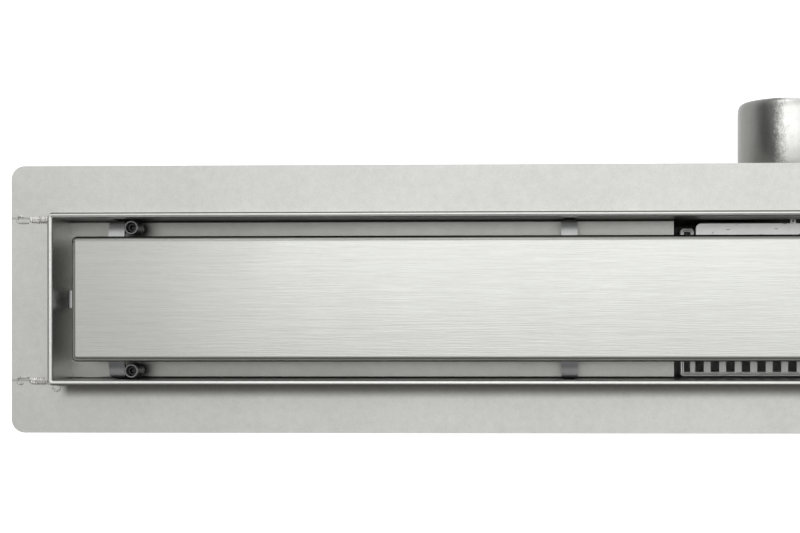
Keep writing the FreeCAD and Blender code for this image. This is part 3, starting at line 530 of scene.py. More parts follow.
def makeSteel(name, look):
    # Sheet steel: cloudy tone, brushed streaks and their bump, and where a look asks for it, painted shade and shadow
    material = bpy.data.materials.new(name)
    material.use_nodes = True
    tree = material.node_tree
    shader = tree.nodes["Principled BSDF"]
    shader.inputs["Metallic"].default_value = look.get("metal", 1.0)
    coords = addNode(tree, "ShaderNodeTexCoord").outputs["Object"]
    cloud = placeGroup(tree, mottleGroup, {
        "Vector": coords, "Scale": look["cloudScale"], "Contrast": look["cloudContrast"]})
    grain = placeGroup(tree, grainGroup, {
        "Vector": coords, "Stretch": look["stretch"], "Contrast": look["grainContrast"]})
    tone = mathNode(tree, "ADD", cloud.outputs[0], mathNode(tree, "SUBTRACT", grain.outputs[0], 0.5), clamp=True)
    colour = mixColour(tree, tone, look["dark"], look["light"])
    parts = addNode(tree, "ShaderNodeSeparateXYZ", {0: coords}).outputs
    if "lowShade" in look:
        # painted shade that deepens downwards, its upper border broken up by the grain
        below, above = look["lowShadeLevels"]
        ragged = mathNode(tree, "MULTIPLY", mathNode(tree, "SUBTRACT", grain.outputs[1], 0.5), look["lowShadeRagged"])
        leaning = mathNode(tree, "ADD", parts[2], mathNode(tree, "MULTIPLY", parts[0], look["lowShadeLean"]))
        lowShade = addNode(tree, "ShaderNodeMapRange", {
            "Value": mathNode(tree, "ADD", leaning, ragged),
            "From Min": below, "From Max": above, "To Min": 1.0, "To Max": 0.0})
        inside = mathNode(tree, "LESS_THAN", mathNode(tree, "ABSOLUTE", parts[1]), look["lowShadeSide"])
        colour = mixColour(tree, mathNode(tree, "MULTIPLY", lowShade.outputs[0], inside), colour, look["lowShade"], "MULTIPLY")
    if "rimShadow" in look:
        # painted shadow of the rim on the front flange, darkest at the rim's foot and fading outwards
        start, finish = look["rimShadowReach"]
        rimShadowFade = addNode(tree, "ShaderNodeMapRange", {
            "Value": mathNode(tree, "MULTIPLY", parts[1], -1.0),
            "From Min": start, "From Max": finish, "To Min": 1.0, "To Max": 0.0}, interpolation_type="SMOOTHSTEP")
        outside = mathNode(tree, "LESS_THAN", parts[1], -look["rimShadowFoot"])
        alongRim = addNode(tree, "ShaderNodeMapRange", {
            "Value": mathNode(tree, "ABSOLUTE", parts[0]), "From Min": look["rimShadowEnd"] - 0.003,
            "From Max": look["rimShadowEnd"], "To Min": 1.0, "To Max": 0.0})
        outside = mathNode(tree, "MULTIPLY", outside, alongRim.outputs[0])
        colour = mixColour(tree, mathNode(tree, "MULTIPLY", rimShadowFade.outputs[0], outside), colour, look["rimShadow"],
                           "MULTIPLY")
    if "foldShade" in look:
        # painted shade on the folded edges, much darker at the rear fold than at the others
        toSide = mathNode(tree, "SUBTRACT", look["foldHalf"][0], mathNode(tree, "ABSOLUTE", parts[0]))
        toFront = mathNode(tree, "SUBTRACT", look["foldHalf"][1], mathNode(tree, "ABSOLUTE", parts[1]))
        nearest = mathNode(tree, "MINIMUM", toSide, toFront)
        fold = addNode(tree, "ShaderNodeMapRange", {
            "Value": nearest, "From Min": look["foldReach"][0], "From Max": look["foldReach"][1],
            "To Min": 1.0, "To Max": 0.0}, interpolation_type="SMOOTHSTEP")
        rear = mathNode(tree, "GREATER_THAN", parts[1], look["foldHalf"][1] - look["foldReach"][1])
        foldShadeColour = mixColour(tree, rear, look["foldShade"], look["rearFoldShade"])
        colour = mixColour(tree, fold.outputs[0], colour, foldShadeColour, "MULTIPLY")
    if "frontShade" in look:
        # painted shade on the strip's front end, darker towards the front
        front = addNode(tree, "ShaderNodeMapRange", {
            "Value": parts[1], "From Min": -0.026, "From Max": -0.020, "To Min": 1.0, "To Max": 0.0})
        colour = mixColour(tree, front.outputs[0], colour, look["frontShade"], "MULTIPLY")
    rough = addNode(tree, "ShaderNodeMapRange", {
        "Value": tone, "To Min": look["rough"][0], "To Max": look["rough"][1]})
    gloss = rough.outputs[0]
    if "flangeMatt" in look:
        # the flanges keep the mill's matt skin, rim and trough are rubbed smoother
        pastEnd = mathNode(tree, "SUBTRACT", mathNode(tree, "ABSOLUTE", parts[0]), look["rim"][0])
        pastSide = mathNode(tree, "SUBTRACT", mathNode(tree, "ABSOLUTE", parts[1]), look["rim"][1])
        past = mathNode(tree, "MAXIMUM", pastEnd, pastSide)
        matt = mathNode(tree, "MULTIPLY", mathNode(tree, "GREATER_THAN", past, 0.0005), look["flangeMatt"])
        gloss = mathNode(tree, "ADD", gloss, matt)
        # painted shade along the rim's outer edge, dimming its highlight
        edge = addNode(tree, "ShaderNodeMapRange", {
            "Value": past, "From Min": -look["rimEdgeShadeWidth"] - 0.00015, "From Max": -look["rimEdgeShadeWidth"]})
        upper = mathNode(tree, "GREATER_THAN", parts[2], -0.004)
        colour = mixColour(tree, mathNode(tree, "MULTIPLY", edge.outputs[0], upper), colour, look["rimEdgeShade"],
                           "MULTIPLY")
    tree.links.new(colour, shader.inputs["Base Color"])
    tree.links.new(gloss, shader.inputs["Roughness"])
    bump = addNode(tree, "ShaderNodeBump", {
        "Height": grain.outputs[1], "Strength": look["bump"], "Distance": look["bumpDistance"]})
    tree.links.new(bump.outputs[0], shader.inputs["Normal"])
    return material


steelLooks = {
    "satinSheet": {
        "dark": (0.60, 0.603, 0.582), "light": (0.76, 0.763, 0.740), "rough": (0.40, 0.33),
        "cloudScale": 22.0, "cloudContrast": 0.5, "stretch": (1700, 1600, 1700), "grainContrast": 1.4,
        "bump": 0.14, "bumpDistance": 0.0002, "flangeMatt": 0.16, "rim": (0.30465, 0.03505),
        # painted shade along the rim's outer edge
        "rimEdgeShadeWidth": 0.0006, "rimEdgeShade": (0.20, 0.197, 0.19),
    },
    "brushedCover": {
        # painted shade on the cover's folded edges, darkest at the rear
        "foldShade": (0.62, 0.61, 0.59), "rearFoldShade": (0.14, 0.137, 0.13), "foldHalf": (0.295, 0.0254), "foldReach": (0.0004, 0.0027),
        "dark": (0.42, 0.422, 0.407), "light": (0.56, 0.563, 0.543), "rough": (0.28, 0.20),
        "cloudScale": 30.0, "cloudContrast": 0.3, "stretch": (70, 2400, 900), "grainContrast": 0.75,
        "bump": 0.22, "bumpDistance": 0.0002,
    },
    "innerSheet": {
        "dark": (0.40, 0.40, 0.39), "light": (0.56, 0.56, 0.545), "rough": (0.50, 0.40),
        "cloudScale": 40.0, "cloudContrast": 0.6, "stretch": (700, 700, 300), "grainContrast": 0.3,
        "bump": 0.12, "bumpDistance": 0.0002,
    },
    "bridgeStrip": {
        # painted shade on the front end of the strips
        "frontShade": (0.56, 0.56, 0.57),
        "dark": (0.40, 0.403, 0.41), "light": (0.54, 0.543, 0.55), "rough": (0.34, 0.26),
        "cloudScale": 300.0, "cloudContrast": 0.7, "stretch": (1500, 600, 600), "grainContrast": 0.4,
        "bump": 0.12, "bumpDistance": 0.0002,
    },
    # painted shade: the sleeves get a dark steel tone standing for the shade under the cover
    "sleeveSteel": {
        "dark": (0.17, 0.17, 0.175), "light": (0.30, 0.30, 0.305), "rough": (0.50, 0.38),
        "cloudScale": 400.0, "cloudContrast": 0.9, "stretch": (900, 900, 900), "grainContrast": 0.4,
        "bump": 0.12, "bumpDistance": 0.0001,
    },
    "rolledWire": {
        "dark": (0.62, 0.62, 0.61), "light": (0.76, 0.76, 0.75), "rough": (0.40, 0.30),
        "cloudScale": 300.0, "cloudContrast": 0.7, "stretch": (900, 900, 900), "grainContrast": 0.4,
        "bump": 0.1, "bumpDistance": 0.0001,
    },
    "pitSheet": {
        "metal": 0.4, "dark": (0.36, 0.36, 0.35), "light": (0.46, 0.46, 0.445), "rough": (0.60, 0.50),
        "cloudScale": 60.0, "cloudContrast": 0.6, "stretch": (700, 700, 300), "grainContrast": 0.3,
        "bump": 0.12, "bumpDistance": 0.0002,
    },
    "drawnTube": {
        # painted shade: the pipe's lower part is multiplied darker
        "lowShade": (0.29, 0.29, 0.285), "lowShadeLevels": (-0.0301, -0.0270), "lowShadeSide": 1.0, "lowShadeRagged": 0.008,
        "lowShadeLean": 0.35,
        "dark": (0.58, 0.58, 0.565), "light": (0.78, 0.78, 0.76), "rough": (0.36, 0.26),
        "cloudScale": 60.0, "cloudContrast": 0.4, "stretch": (2400, 1300, 2400), "grainContrast": 1.3,
        "bump": 0.45, "bumpDistance": 0.0002,
    },
    "weldMetal": {
        "dark": (0.26, 0.255, 0.24), "light": (0.88, 0.87, 0.84), "rough": (0.38, 0.24),
        "cloudScale": 700.0, "cloudContrast": 0.7, "stretch": (2300, 420, 420), "grainContrast": 2.4,
        "bump": 0.25, "bumpDistance": 0.0001,
    },
    "zincPlate": {
        "dark": (0.52, 0.53, 0.55), "light": (0.70, 0.71, 0.72), "rough": (0.42, 0.30),
        "cloudScale": 500.0, "cloudContrast": 0.9, "stretch": (900, 900, 900), "grainContrast": 0.3,
        "bump": 0.1, "bumpDistance": 0.0001,
    },
    # painted shade: the screws get a near-black steel standing for the shade in their deep holes
    "screwShadeSteel": {
        "dark": (0.03, 0.03, 0.03), "light": (0.08, 0.08, 0.08), "rough": (0.50, 0.38),
        "cloudScale": 900.0, "cloudContrast": 0.9, "stretch": (900, 900, 900), "grainContrast": 0.3,
        "bump": 0.1, "bumpDistance": 0.0001,
    },
}
steelLooks["channelSheet"] = {
    # painted shade deepening down the inside of the trough
    **steelLooks["satinSheet"], "lowShade": (0.50, 0.50, 0.49), "lowShadeLevels": (-0.0125, -0.0045), "lowShadeSide": 0.0337,
    # painted shadow of the rim on the front flange
    "lowShadeRagged": 0.0, "lowShadeLean": 0.0, "rimShadow": (0.27, 0.265, 0.255), "rimShadowReach": (0.0366, 0.0414), "rimShadowEnd": 0.3025,
    "rimShadowFoot": 0.0348,
}
finishes = {name: makeSteel(name, look) for name, look in steelLooks.items()}


def makePlastic(name, look):
    # Moulded plastic or rubber: fine spark-eroded texture, slight change of tone and gloss
    material = bpy.data.materials.new(name)
    material.use_nodes = True
    tree = material.node_tree
    shader = tree.nodes["Principled BSDF"]
    shader.inputs["Specular IOR Level"].default_value = look["specular"]
    coords = addNode(tree, "ShaderNodeTexCoord").outputs["Object"]
    cloud = placeGroup(tree, mottleGroup, {"Vector": coords, "Scale": look["cloudScale"], "Contrast": 0.8})
    grain = addNode(tree, "ShaderNodeTexNoise", {
        "Vector": coords, "Scale": look["grainScale"], "Detail": 3.0, "Roughness": 0.6})
    tree.links.new(mixColour(tree, cloud.outputs[0], look["dark"], look["light"]), shader.inputs["Base Color"])
    rough = addNode(tree, "ShaderNodeMapRange", {
        "Value": grain.outputs[0], "To Min": look["rough"][0], "To Max": look["rough"][1]})
    tree.links.new(rough.outputs[0], shader.inputs["Roughness"])
    bump = addNode(tree, "ShaderNodeBump", {
        "Height": grain.outputs[0], "Strength": look["bump"], "Distance": 0.0002})
    tree.links.new(bump.outputs[0], shader.inputs["Normal"])
    return material


plasticLooks = {
    "trapPlastic": {
        "dark": (0.055, 0.055, 0.057), "light": (0.085, 0.085, 0.088), "rough": (0.42, 0.58),
        "specular": 0.45, "cloudScale": 80.0, "grainScale": 1800.0, "bump": 0.25,
    },
    "padPlastic": {
        "dark": (0.034, 0.034, 0.037), "light": (0.058, 0.058, 0.062), "rough": (0.48, 0.66),
        "specular": 0.4, "cloudScale": 150.0, "grainScale": 1500.0, "bump": 0.35,
    },
    "sealRubber": {
        "dark": (0.014, 0.014, 0.014), "light": (0.026, 0.026, 0.026), "rough": (0.66, 0.82),
        "specular": 0.3, "cloudScale": 200.0, "grainScale": 1200.0, "bump": 0.2,
    },
}
finishes.update({name: makePlastic(name, look) for name, look in plasticLooks.items()})


def makeLidFinish(look):
    # Pale grey lid with fine dark dust marks and short hairlines
    material = bpy.data.materials.new("lidGrey")
    material.use_nodes = True
    tree = material.node_tree
    shader = tree.nodes["Principled BSDF"]
    shader.inputs["Metallic"].default_value = 1.0
    coords = addNode(tree, "ShaderNodeTexCoord").outputs["Object"]
    cloud = placeGroup(tree, mottleGroup, {"Vector": coords, "Scale": 260.0, "Contrast": 1.0})
    colour = mixColour(tree, cloud.outputs[0], look["dark"], look["light"])
    speck = addNode(tree, "ShaderNodeTexVoronoi", {"Vector": coords, "Scale": look["speckScale"]})
    small = addNode(tree, "ShaderNodeMapRange", {
        "Value": speck.outputs["Distance"], "From Min": 0.05, "From Max": 0.13, "To Min": 1.0, "To Max": 0.0})
    chosen = addNode(tree, "ShaderNodeSeparateXYZ", {0: speck.outputs["Color"]}).outputs[0]
    chosen = mathNode(tree, "GREATER_THAN", chosen, look["speckKeep"])
    mask = mathNode(tree, "MULTIPLY", small.outputs[0], chosen)
    colour = mixColour(tree, mathNode(tree, "MULTIPLY", mask, 0.75), colour, look["speck"])
    drawn = addNode(tree, "ShaderNodeVectorMath", {0: coords, 1: look["hairStretch"]}, operation="MULTIPLY")
    hair = addNode(tree, "ShaderNodeTexVoronoi", {"Vector": drawn.outputs[0], "Scale": 1.0})
    thin = addNode(tree, "ShaderNodeMapRange", {
        "Value": hair.outputs["Distance"], "From Min": 0.22, "From Max": 0.34, "To Min": 1.0, "To Max": 0.0})
    picked = addNode(tree, "ShaderNodeSeparateXYZ", {0: hair.outputs["Color"]}).outputs[0]
    picked = mathNode(tree, "GREATER_THAN", picked, look["hairKeep"])
    hairMask = mathNode(tree, "MULTIPLY", mathNode(tree, "MULTIPLY", thin.outputs[0], picked), 0.7)
    colour = mixColour(tree, hairMask, colour, look["speck"])
    tree.links.new(colour, shader.inputs["Base Color"])
    grain = addNode(tree, "ShaderNodeTexNoise", {"Vector": coords, "Scale": 2500.0, "Detail": 3.0})
    rough = addNode(tree, "ShaderNodeMapRange", {"Value": grain.outputs[0], "To Min": 0.28, "To Max": 0.4})
    tree.links.new(rough.outputs[0], shader.inputs["Roughness"])
    bump = addNode(tree, "ShaderNodeBump", {"Height": grain.outputs[0], "Strength": 0.15, "Distance": 0.0001})
    tree.links.new(bump.outputs[0], shader.inputs["Normal"])
    return material


finishes["lidGrey"] = makeLidFinish({
    "dark": (0.44, 0.44, 0.435), "light": (0.55, 0.55, 0.54), "speck": (0.05, 0.05, 0.05),
    "speckScale": 330.0, "speckKeep": 0.72, "hairStretch": (300, 1500, 240), "hairKeep": 0.88,
})
print("materials built:", len(finishes))


# Weld beads
flangeBead = {
    "width": 3.3 * mm, "height": 0.70 * mm, "pitch": 0.95 * mm, "depth": 0.70, "bow": 0.7,
    "craterLength": 6.2 * mm, "craterRadius": 1.35 * mm, "craterWidth": 0.95 * mm, "craterHeight": 0.55 * mm,
    "curlRadius": 1.7 * mm, "curlWidth": 0.75 * mm, "curlHeight": 0.5 * mm,
}


def makeFlangeWelds(sizes):
    low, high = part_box("flange_welds")
    level = low.z
    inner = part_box("end_plate_right")[0].x + 3.4 * mm
    outer = high.x
    meshes = []
    beads, rims, curls = [], [], []
    for sideX in (-1, 1):
        for sideY in (-1, 1):
            seam = high.y - (0.5 if sideY < 0 else 1.1) * mm      # the front seams lie a little further out
            start = Vector((sideX * inner, sideY * seam, level))
            finish = Vector((sideX * (outer - sizes["craterLength"]), sideY * seam, level))
            middle = start.lerp(finish, 0.55) + Vector((0, 0.18 * mm * sideX, 0))
            beads.append(([start, middle, finish], False))
            # the run-out: an open hook round the place where the arc was drawn off
            reach = sizes["craterRadius"]
            far = Vector((sideX * (outer - reach - 1.2 * mm), sideY * seam, level))
            turn = 90 if sideX > 0 else 270
            hook = [finish + Vector((0, reach * sideX * sideY, 0))]
            hook += arcPoints(far, reach, turn * sideY, (turn - 235) * sideY, 11)
            rims.append((hook, False))
            corner = Vector((sideX * 304.3 * mm, sideY * 36.0 * mm, level))
            if sideY < 0:
                curls.append((arcPoints(corner, sizes["curlRadius"], -180, 0, 12), False))
    shared = {"Ripple Pitch": sizes["pitch"], "Material": finishes["weldMetal"]}
    meshes.append(grow(lineCurve("beads", beads), beadTree, {
        **shared, "Width": sizes["width"], "Height": sizes["height"],
        "Ripple Depth": sizes["depth"], "Bow": sizes["bow"], "Seed": 3.0}))
    meshes.append(grow(lineCurve("craters", rims), beadTree, {
        **shared, "Width": sizes["craterWidth"], "Height": sizes["craterHeight"], "Ripple Depth": 0.15,
        "Bow": 0.0, "Seed": 5.0}))
    meshes.append(grow(lineCurve("curls", curls), beadTree, {
        **shared, "Width": sizes["curlWidth"], "Height": sizes["curlHeight"], "Ripple Depth": 0.2,
        "Bow": 0.0, "Seed": 7.0}))
    mesh = joinMeshes("flangeWelds", meshes)
    finishPiece("flangeWelds", mesh, finishes["weldMetal"], "drain", ["flange_welds"], 60)


def makeOutletWeld():
    low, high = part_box("outlet_weld")
    axis = Vector((0, low.y + 0.1 * mm, (low.z + high.z) / 2))
    ring = arcPoints(axis, 20.2 * mm, 0, 356, 90, axis="y")
    mesh = grow(lineCurve("ringWeld", [(ring, True)]), beadTree, {
        "Width": 3.0 * mm, "Height": 1.5 * mm, "Ripple Pitch": 1.6 * mm, "Ripple Depth": 0.22,
        "Bow": 0.0, "Seed": 9.0, "Material": finishes["weldMetal"]})
    finishPiece("outletWeld", mesh, finishes["weldMetal"], "drain", ["outlet_weld"], 60)


makeFlangeWelds(flangeBead)
makeOutletWeld()
print("welds made")


# Feet and their nuts
rodSizes = {"pitch": 1.25 * mm, "depth": 0.62 * mm, "chamfer": 0.9 * mm}
nutSizes = {"flats": 13.0 * mm, "height": 5.0 * mm, "bore": 4.15 * mm, "chamfer": 6.45 * mm, "points": 48}
padSizes = {
    "points": 48, "ribs": 12, "ribThickness": 1.2 * mm,
    # outline from the middle of the underside to the rod: radius and height
    "outline": [(0.0, 0.0), (12.6, 0.0), (13.4, 0.25), (13.9, 0.8), (14.0, 1.5), (13.85, 2.0), (13.3, 2.3),
                (8.6, 2.6), (8.2, 2.9), (8.0, 3.4), (7.95, 9.2), (7.7, 9.8), (7.2, 10.0), (4.7, 10.0),
                (4.2, 9.6), (4.0, 9.2), (4.0, 4.0), (0.0, 4.0)],
}


def makeFootRod(corner):
    name = "foot_rod_" + corner
    low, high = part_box(name)
    x, y = (low.x + high.x) / 2, (low.y + high.y) / 2
    mesh = grow(lineCurve("rodLine", [([(x, y, low.z), (x, y, high.z)], False)]), threadTree, {
        "Radius": (high.x - low.x) / 2, "Thread Pitch": rodSizes["pitch"], "Thread Depth": rodSizes["depth"],
        "Chamfer": rodSizes["chamfer"], "Material": finishes["zincPlate"]})
    finishPiece("footRod_" + corner, mesh, finishes["zincPlate"], "foot_" + corner, [name], 50)


def turnedMesh(name, outline, count, scale=mm):
    rings = [roundRing(radius * scale, height * scale, count) for radius, height in outline[1:-1]]
    mesh = skinRings(name, rings, True, True)
    return mesh


def ribMesh(sizes):
    # A fin from the boss down to the pad's edge
    t = sizes["ribThickness"] / 2
    side = [(7.8 * mm, 2.2 * mm), (13.0 * mm, 2.2 * mm), (12.6 * mm, 2.9 * mm), (7.8 * mm, 4.9 * mm)]
    points = [(x, -t, z) for x, z in side] + [(x, t, z) for x, z in side]
    faces = [(0, 1, 2, 3), (7, 6, 5, 4), (0, 4, 5, 1), (1, 5, 6, 2), (2, 6, 7, 3), (3, 7, 4, 0)]
    mesh = bpy.data.meshes.new("padRib")
    mesh.from_pydata(points, [], faces)
    return mesh


def makeFootPad(corner, sizes):
    name = "foot_pad_" + corner
    low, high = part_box(name)
    middle = Vector(((low.x + high.x) / 2, (low.y + high.y) / 2, low.z))
    body = turnedMesh("padBody", sizes["outline"], sizes["points"])
    rib = bpy.data.objects.new("ribSource", ribMesh(sizes))
    hub = bpy.data.meshes.new("ribHub")
    hub.from_pydata([(0, 0, 0)] * sizes["ribs"], [], [])
    ribs = grow(bpy.data.objects.new("ribHub", hub), copyTree, {
        "Piece": rib, "Turn": 2 * math.pi / sizes["ribs"], "Material": finishes["padPlastic"]})
    bpy.data.objects.remove(rib)
    mesh = joinMeshes(name, [body, ribs])
    mesh.transform(Matrix.Translation(middle))
    finishPiece("footPad_" + corner, mesh, finishes["padPlastic"], "foot_" + corner, [name], 35)


def makeLockNuts(sizes):
    count = sizes["points"]
    corner = sizes["flats"] / math.sqrt(3)
    bevels = [(0.0, sizes["chamfer"]), (0.2 * mm, sizes["chamfer"] + 0.35 * mm),
              (0.45 * mm, sizes["chamfer"] + 0.78 * mm), (0.7 * mm, corner + 0.1 * mm)]
    rings = [roundRing(sizes["bore"], 0.5 * mm, count), roundRing(sizes["bore"] + 0.4 * mm, 0, count)]
    rings += [hexRing(sizes["flats"], rise, count, limit) for rise, limit in bevels]
    rings += [hexRing(sizes["flats"], sizes["height"] - rise, count, limit) for rise, limit in reversed(bevels)]
    rings += [roundRing(sizes["bore"] + 0.4 * mm, sizes["height"], count),
              roundRing(sizes["bore"], sizes["height"] - 0.5 * mm, count)]
    mesh = skinRings("nutSource", rings + [rings[0]], False, False)
    fixNormals(mesh)
    nut = bpy.data.objects.new("nutSource", mesh)
    low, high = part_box("lock_nuts")
    x, y = high.x - corner, high.y - sizes["flats"] / 2
    spots = [(sideX * x, sideY * y, z) for sideX in (-1, 1) for sideY in (-1, 1)
             for z in (low.z, high.z - sizes["height"])]
    points = bpy.data.meshes.new("nutPlaces")
    points.from_pydata(spots, [], [])
    mesh = grow(bpy.data.objects.new("nutPlaces", points), copyTree, {
        "Piece": nut, "Turn": 0.37, "Material": finishes["zincPlate"]})
    bpy.data.objects.remove(nut)
    finishPiece("lockNuts", mesh, finishes["zincPlate"], "drain", ["lock_nuts"], 25)


corners = ["front_left", "rear_left", "front_right", "rear_right"]
for corner in corners:
    makeFootRod(corner)
    makeFootPad(corner, padSizes)
makeLockNuts(nutSizes)
print("feet made")


# Levelling screws
screwSizes = {"pitch": 0.7 * mm, "depth": 0.38 * mm, "points": 24, "socket": 2.0 * mm, "socketDepth": 2.4 * mm}


def threadedRings(radius, bottom, top, pitch, depth, count, chamfer, inside=False):
    rings = []
    steps = int(round((top - bottom) / (pitch / 5)))
    for step in range(steps + 1):
        z = bottom + (top - bottom) * step / steps
        ring = []
        for k in range(count):
            phase = (z / pitch - k / count) % 1.0
            tooth = min(max((abs(phase - 0.5) * 2 - 0.14) / 0.72, 0.0), 1.0)
            toEnd = min(z - bottom, top - z)
            if inside:
                reach = max(radius - depth * (1 - tooth), radius - depth + max(chamfer - toEnd, 0))
            else:
                reach = min(radius - depth * tooth, radius - chamfer + toEnd)
            angle = 2 * math.pi * k / count
            ring.append((reach * math.cos(angle), reach * math.sin(angle), z))
        rings.append(ring)
    return rings


def makeLevellingScrew(corner, sizes):
    name = "levelling_screw_" + corner
    low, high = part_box(name)
    middle = Vector(((low.x + high.x) / 2, (low.y + high.y) / 2, 0))
    count = sizes["points"]
    radius = (high.x - low.x) / 2
    rings = threadedRings(radius, low.z, high.z, sizes["pitch"], sizes["depth"], count, 0.35 * mm)
    rings.append(hexRing(sizes["socket"] * 1.12, high.z, count))
    rings.append(hexRing(sizes["socket"], high.z - 0.12 * mm, count))
    rings.append(hexRing(sizes["socket"], high.z - sizes["socketDepth"], count))
    rings.append(roundRing(0.2 * mm, high.z - sizes["socketDepth"] - 0.4 * mm, count))
    mesh = skinRings("levellingScrew_" + corner, rings, True, True)
    mesh.transform(Matrix.Translation(middle))
    finishPiece("levellingScrew_" + corner, mesh, finishes["screwShadeSteel"], "screw_" + corner,
                [name], 35)


def makeSleeve(corner, sizes):
    name = "levelling_sleeve_" + corner
    low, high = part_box(name)
    middle = Vector(((low.x + high.x) / 2, (low.y + high.y) / 2, 0))
    count = sizes["points"]
    radius = (high.x - low.x) / 2
    bevel = 0.25 * mm
    outer = [roundRing(radius - bevel, low.z, count), roundRing(radius, low.z + bevel, count),
             roundRing(radius, high.z - bevel, count), roundRing(radius - bevel, high.z, count)]
    inner = threadedRings(2.25 * mm, low.z, high.z, sizes["pitch"], 0.2 * mm, count, 0.2 * mm, inside=True)
    rings = outer + list(reversed(inner))
    mesh = skinRings("levellingSleeve_" + corner, rings + [rings[0]], False, False)
    fixNormals(mesh)
    mesh.transform(Matrix.Translation(middle))
    finishPiece("levellingSleeve_" + corner, mesh, finishes["sleeveSteel"], "drain", [name], 35)


for corner in corners:
    makeLevellingScrew(corner, screwSizes)
    makeSleeve(corner, screwSizes)
print("levelling screws made")


# Bridges under the cover
bridgeSizes = {
    "sheet": 1.5 * mm, "width": 6.6 * mm, "legWidth": 4.8 * mm,
    "rest": 25.0 * mm,        # flat under the cover as far as this from the middle
    "slope": math.radians(15), "bend": 1.6 * mm, "bendSteps": 8,
}


def bridgePath(low, high, sizes):
    # Middle line of half the strip, from the drain's middle outwards and down the leg
    half = sizes["sheet"] / 2
    top = high.z - half
    side = high.y - half
    slope, bend = sizes["slope"], sizes["bend"]
    points = [(0.0, top, 0.0), (sizes["rest"], top, 0.0)]
    edge = side - bend
    drop = (edge + bend * math.sin(slope) - sizes["rest"]) * math.tan(slope)
    centre = top - drop - bend * math.cos(slope)
    for step in range(sizes["bendSteps"] + 1):
        angle = slope + (math.pi / 2 - slope) * step / sizes["bendSteps"]
        points.append((edge + bend * math.sin(angle), centre + bend * math.cos(angle), angle))
    points.append((side, low.z, math.pi / 2))
    return points


def makeBridge(name, sizes):
    low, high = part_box(name)
    middle = (low.x + high.x) / 2
    half = sizes["sheet"] / 2
    path = bridgePath(low, high, sizes)
    ends = len(path) - 1
    rings = []
    for way in (-1, 1):
        line = list(enumerate(path))[::-1] if way < 0 else list(enumerate(path))[1:]
        for index, (y, z, angle) in line:
            wide = sizes["width"] / 2
            if index > 3:
                narrow = min((index - 3) / 3, 1.0)
                wide -= narrow * (sizes["width"] - sizes["legWidth"]) / 2
            across, rise = math.sin(angle) * half, math.cos(angle) * half
            inner = (way * (y - across), z - rise)
            outer = (way * (y + across), z + rise)
            rings.append([(middle - wide, *inner), (middle + wide, *inner),
                          (middle + wide, *outer), (middle - wide, *outer)])
    mesh = skinRings(name, rings, True, True)
    fixNormals(mesh)
    finishPiece("bridge_" + name.split("_", 1)[1] + "_strip", mesh, finishes["bridgeStrip"], "drain",
                [name], 40)


for bridge in ("bridge_outer_left", "bridge_inner_left", "bridge_inner_right", "bridge_outer_right"):
    makeBridge(bridge, bridgeSizes)
print("bridges made")


# Outlet pipe
pipeSizes = {
    "sides": 96, "wall": 1.2 * mm,
    "neck": [(19.5, 0.0), (19.5, 3.0)],          # radius and distance from the sump's wall
    "crimp": 3.8 * mm, "draw": 1.3 * mm, "steps": 10,
}


def makeOutletPipe(sizes):
    low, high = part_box("outlet_pipe")
    radius = (high.x - low.x) / 2
    level = (low.z + high.z) / 2
    outside = [(r * mm, low.y + d * mm) for r, d in sizes["neck"]] + [(radius, low.y + 3.6 * mm)]
    for step in range(sizes["steps"] + 1):
        angle = math.pi / 2 * step / sizes["steps"]
        outside.append((radius - sizes["draw"] * (1 - math.cos(angle)),
                        high.y - 0.3 * mm - sizes["crimp"] * (1 - math.sin(angle))))
    mouth = outside[-1][0]
    outside += [(mouth - 0.15 * mm, high.y - 0.05 * mm), (mouth - 0.4 * mm, high.y)]
    inside = [(mouth - sizes["wall"] + 0.3 * mm, high.y), (mouth - sizes["wall"], high.y - 0.3 * mm)]
    for step in range(sizes["steps"] + 1):
        angle = math.pi / 2 * (1 - step / sizes["steps"])
        inside.append((radius - sizes["wall"] - sizes["draw"] * (1 - math.cos(angle)),
                       high.y - 0.5 * mm - sizes["crimp"] * (1 - math.sin(angle))))
    inside += [(radius - sizes["wall"], low.y + 4.0 * mm), (19.5 * mm - sizes["wall"], low.y + 3.0 * mm),
               (19.5 * mm - sizes["wall"], low.y)]
    rings = []
    for r, y in outside + inside:
        rings.append([(r * math.cos(2 * math.pi * k / sizes["sides"]), y,
                       level + r * math.sin(2 * math.pi * k / sizes["sides"])) for k in range(sizes["sides"])])
    mesh = skinRings("outletPipe", rings + [rings[0]], False, False)
    fixNormals(mesh)
    finishPiece("outletPipe", mesh, finishes["drawnTube"], "drain", ["outlet_pipe"], 50)


makeOutletPipe(pipeSizes)
print("outlet pipe made")


# Rolled edges of the strainer
strainerEdge = {
    "radius": 0.32 * mm, "sink": 0.12 * mm, "inset": 0.36 * mm, "lip": 1.5 * mm, "corner": 2.0 * mm,
    "armInside": 41.2 * mm, "notch": -10.8 * mm, "cornerSteps": 6,
}


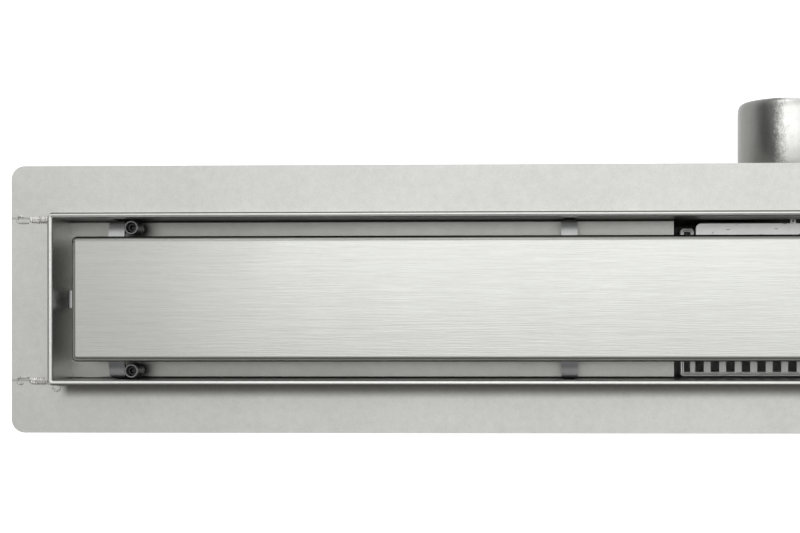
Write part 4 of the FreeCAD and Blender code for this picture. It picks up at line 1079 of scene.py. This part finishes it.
def roundedLoop(corners, radius, steps, level):
    # A closed run round the corners, each cut by an arc; corners are in order
    points = []
    count = len(corners)
    for index in range(count):
        before = Vector(corners[index - 1])
        here = Vector(corners[index])
        after = Vector(corners[(index + 1) % count])
        towards, onward = (before - here).normalized(), (after - here).normalized()
        for step in range(steps + 1):
            t = step / steps
            start, finish = here + towards * radius, here + onward * radius
            spot = start * (1 - t) ** 2 + here * 2 * t * (1 - t) + finish * t ** 2
            points.append((spot.x, spot.y, level))
    return points


def makeStrainerEdge(sizes):
    low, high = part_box("strainer")
    level = high.z + sizes["radius"] - sizes["sink"]
    inside, notch = sizes["armInside"], sizes["notch"]
    runs = []
    for inset, corner in ((sizes["inset"], sizes["corner"]), (sizes["lip"] - sizes["inset"], sizes["corner"] / 2)):
        right, left = high.x - inset, low.x + inset
        front, rear = low.y + inset, high.y - inset
        outline = [(left, front), (right, front), (right, rear), (inside + inset, rear),
                   (inside + inset, notch - inset), (-inside - inset, notch - inset),
                   (-inside - inset, rear), (left, rear)]
        runs.append((roundedLoop(outline, corner, sizes["cornerSteps"], level), True))
    mesh = grow(lineCurve("strainerEdge", runs), edgeTree, {
        "Radius": sizes["radius"], "Step": 0.5 * mm, "Material": finishes["drawnTube"]})
    mesh.name = "strainerEdge"
    finishPiece("strainerEdge", mesh, finishes["rolledWire"], "drain", [], 60)


makeStrainerEdge(strainerEdge)
print("strainer edge made")


# Finishes of the CAD nodes
nodeFinishes = {
    "channel_profile": "channelSheet", "end_plate_left": "satinSheet", "end_plate_right": "satinSheet",
    "corner_welds": "weldMetal", "sump_box": "pitSheet", 
    "cover_plate": "brushedCover", "end_spacer_left": "bridgeStrip", "end_spacer_right": "bridgeStrip", "trap_body": "trapPlastic", "outlet_gasket": "sealRubber",
    "trap_lid": "lidGrey", "strainer": "innerSheet", "strainer_legs": "innerSheet",
    "foot_bracket_left": "satinSheet", "foot_bracket_right": "satinSheet",
}
for nodeName, finishName in nodeFinishes.items():
    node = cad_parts[nodeName]
    node.data.materials.clear()
    node.data.materials.append(finishes[finishName])
print("finishes set")
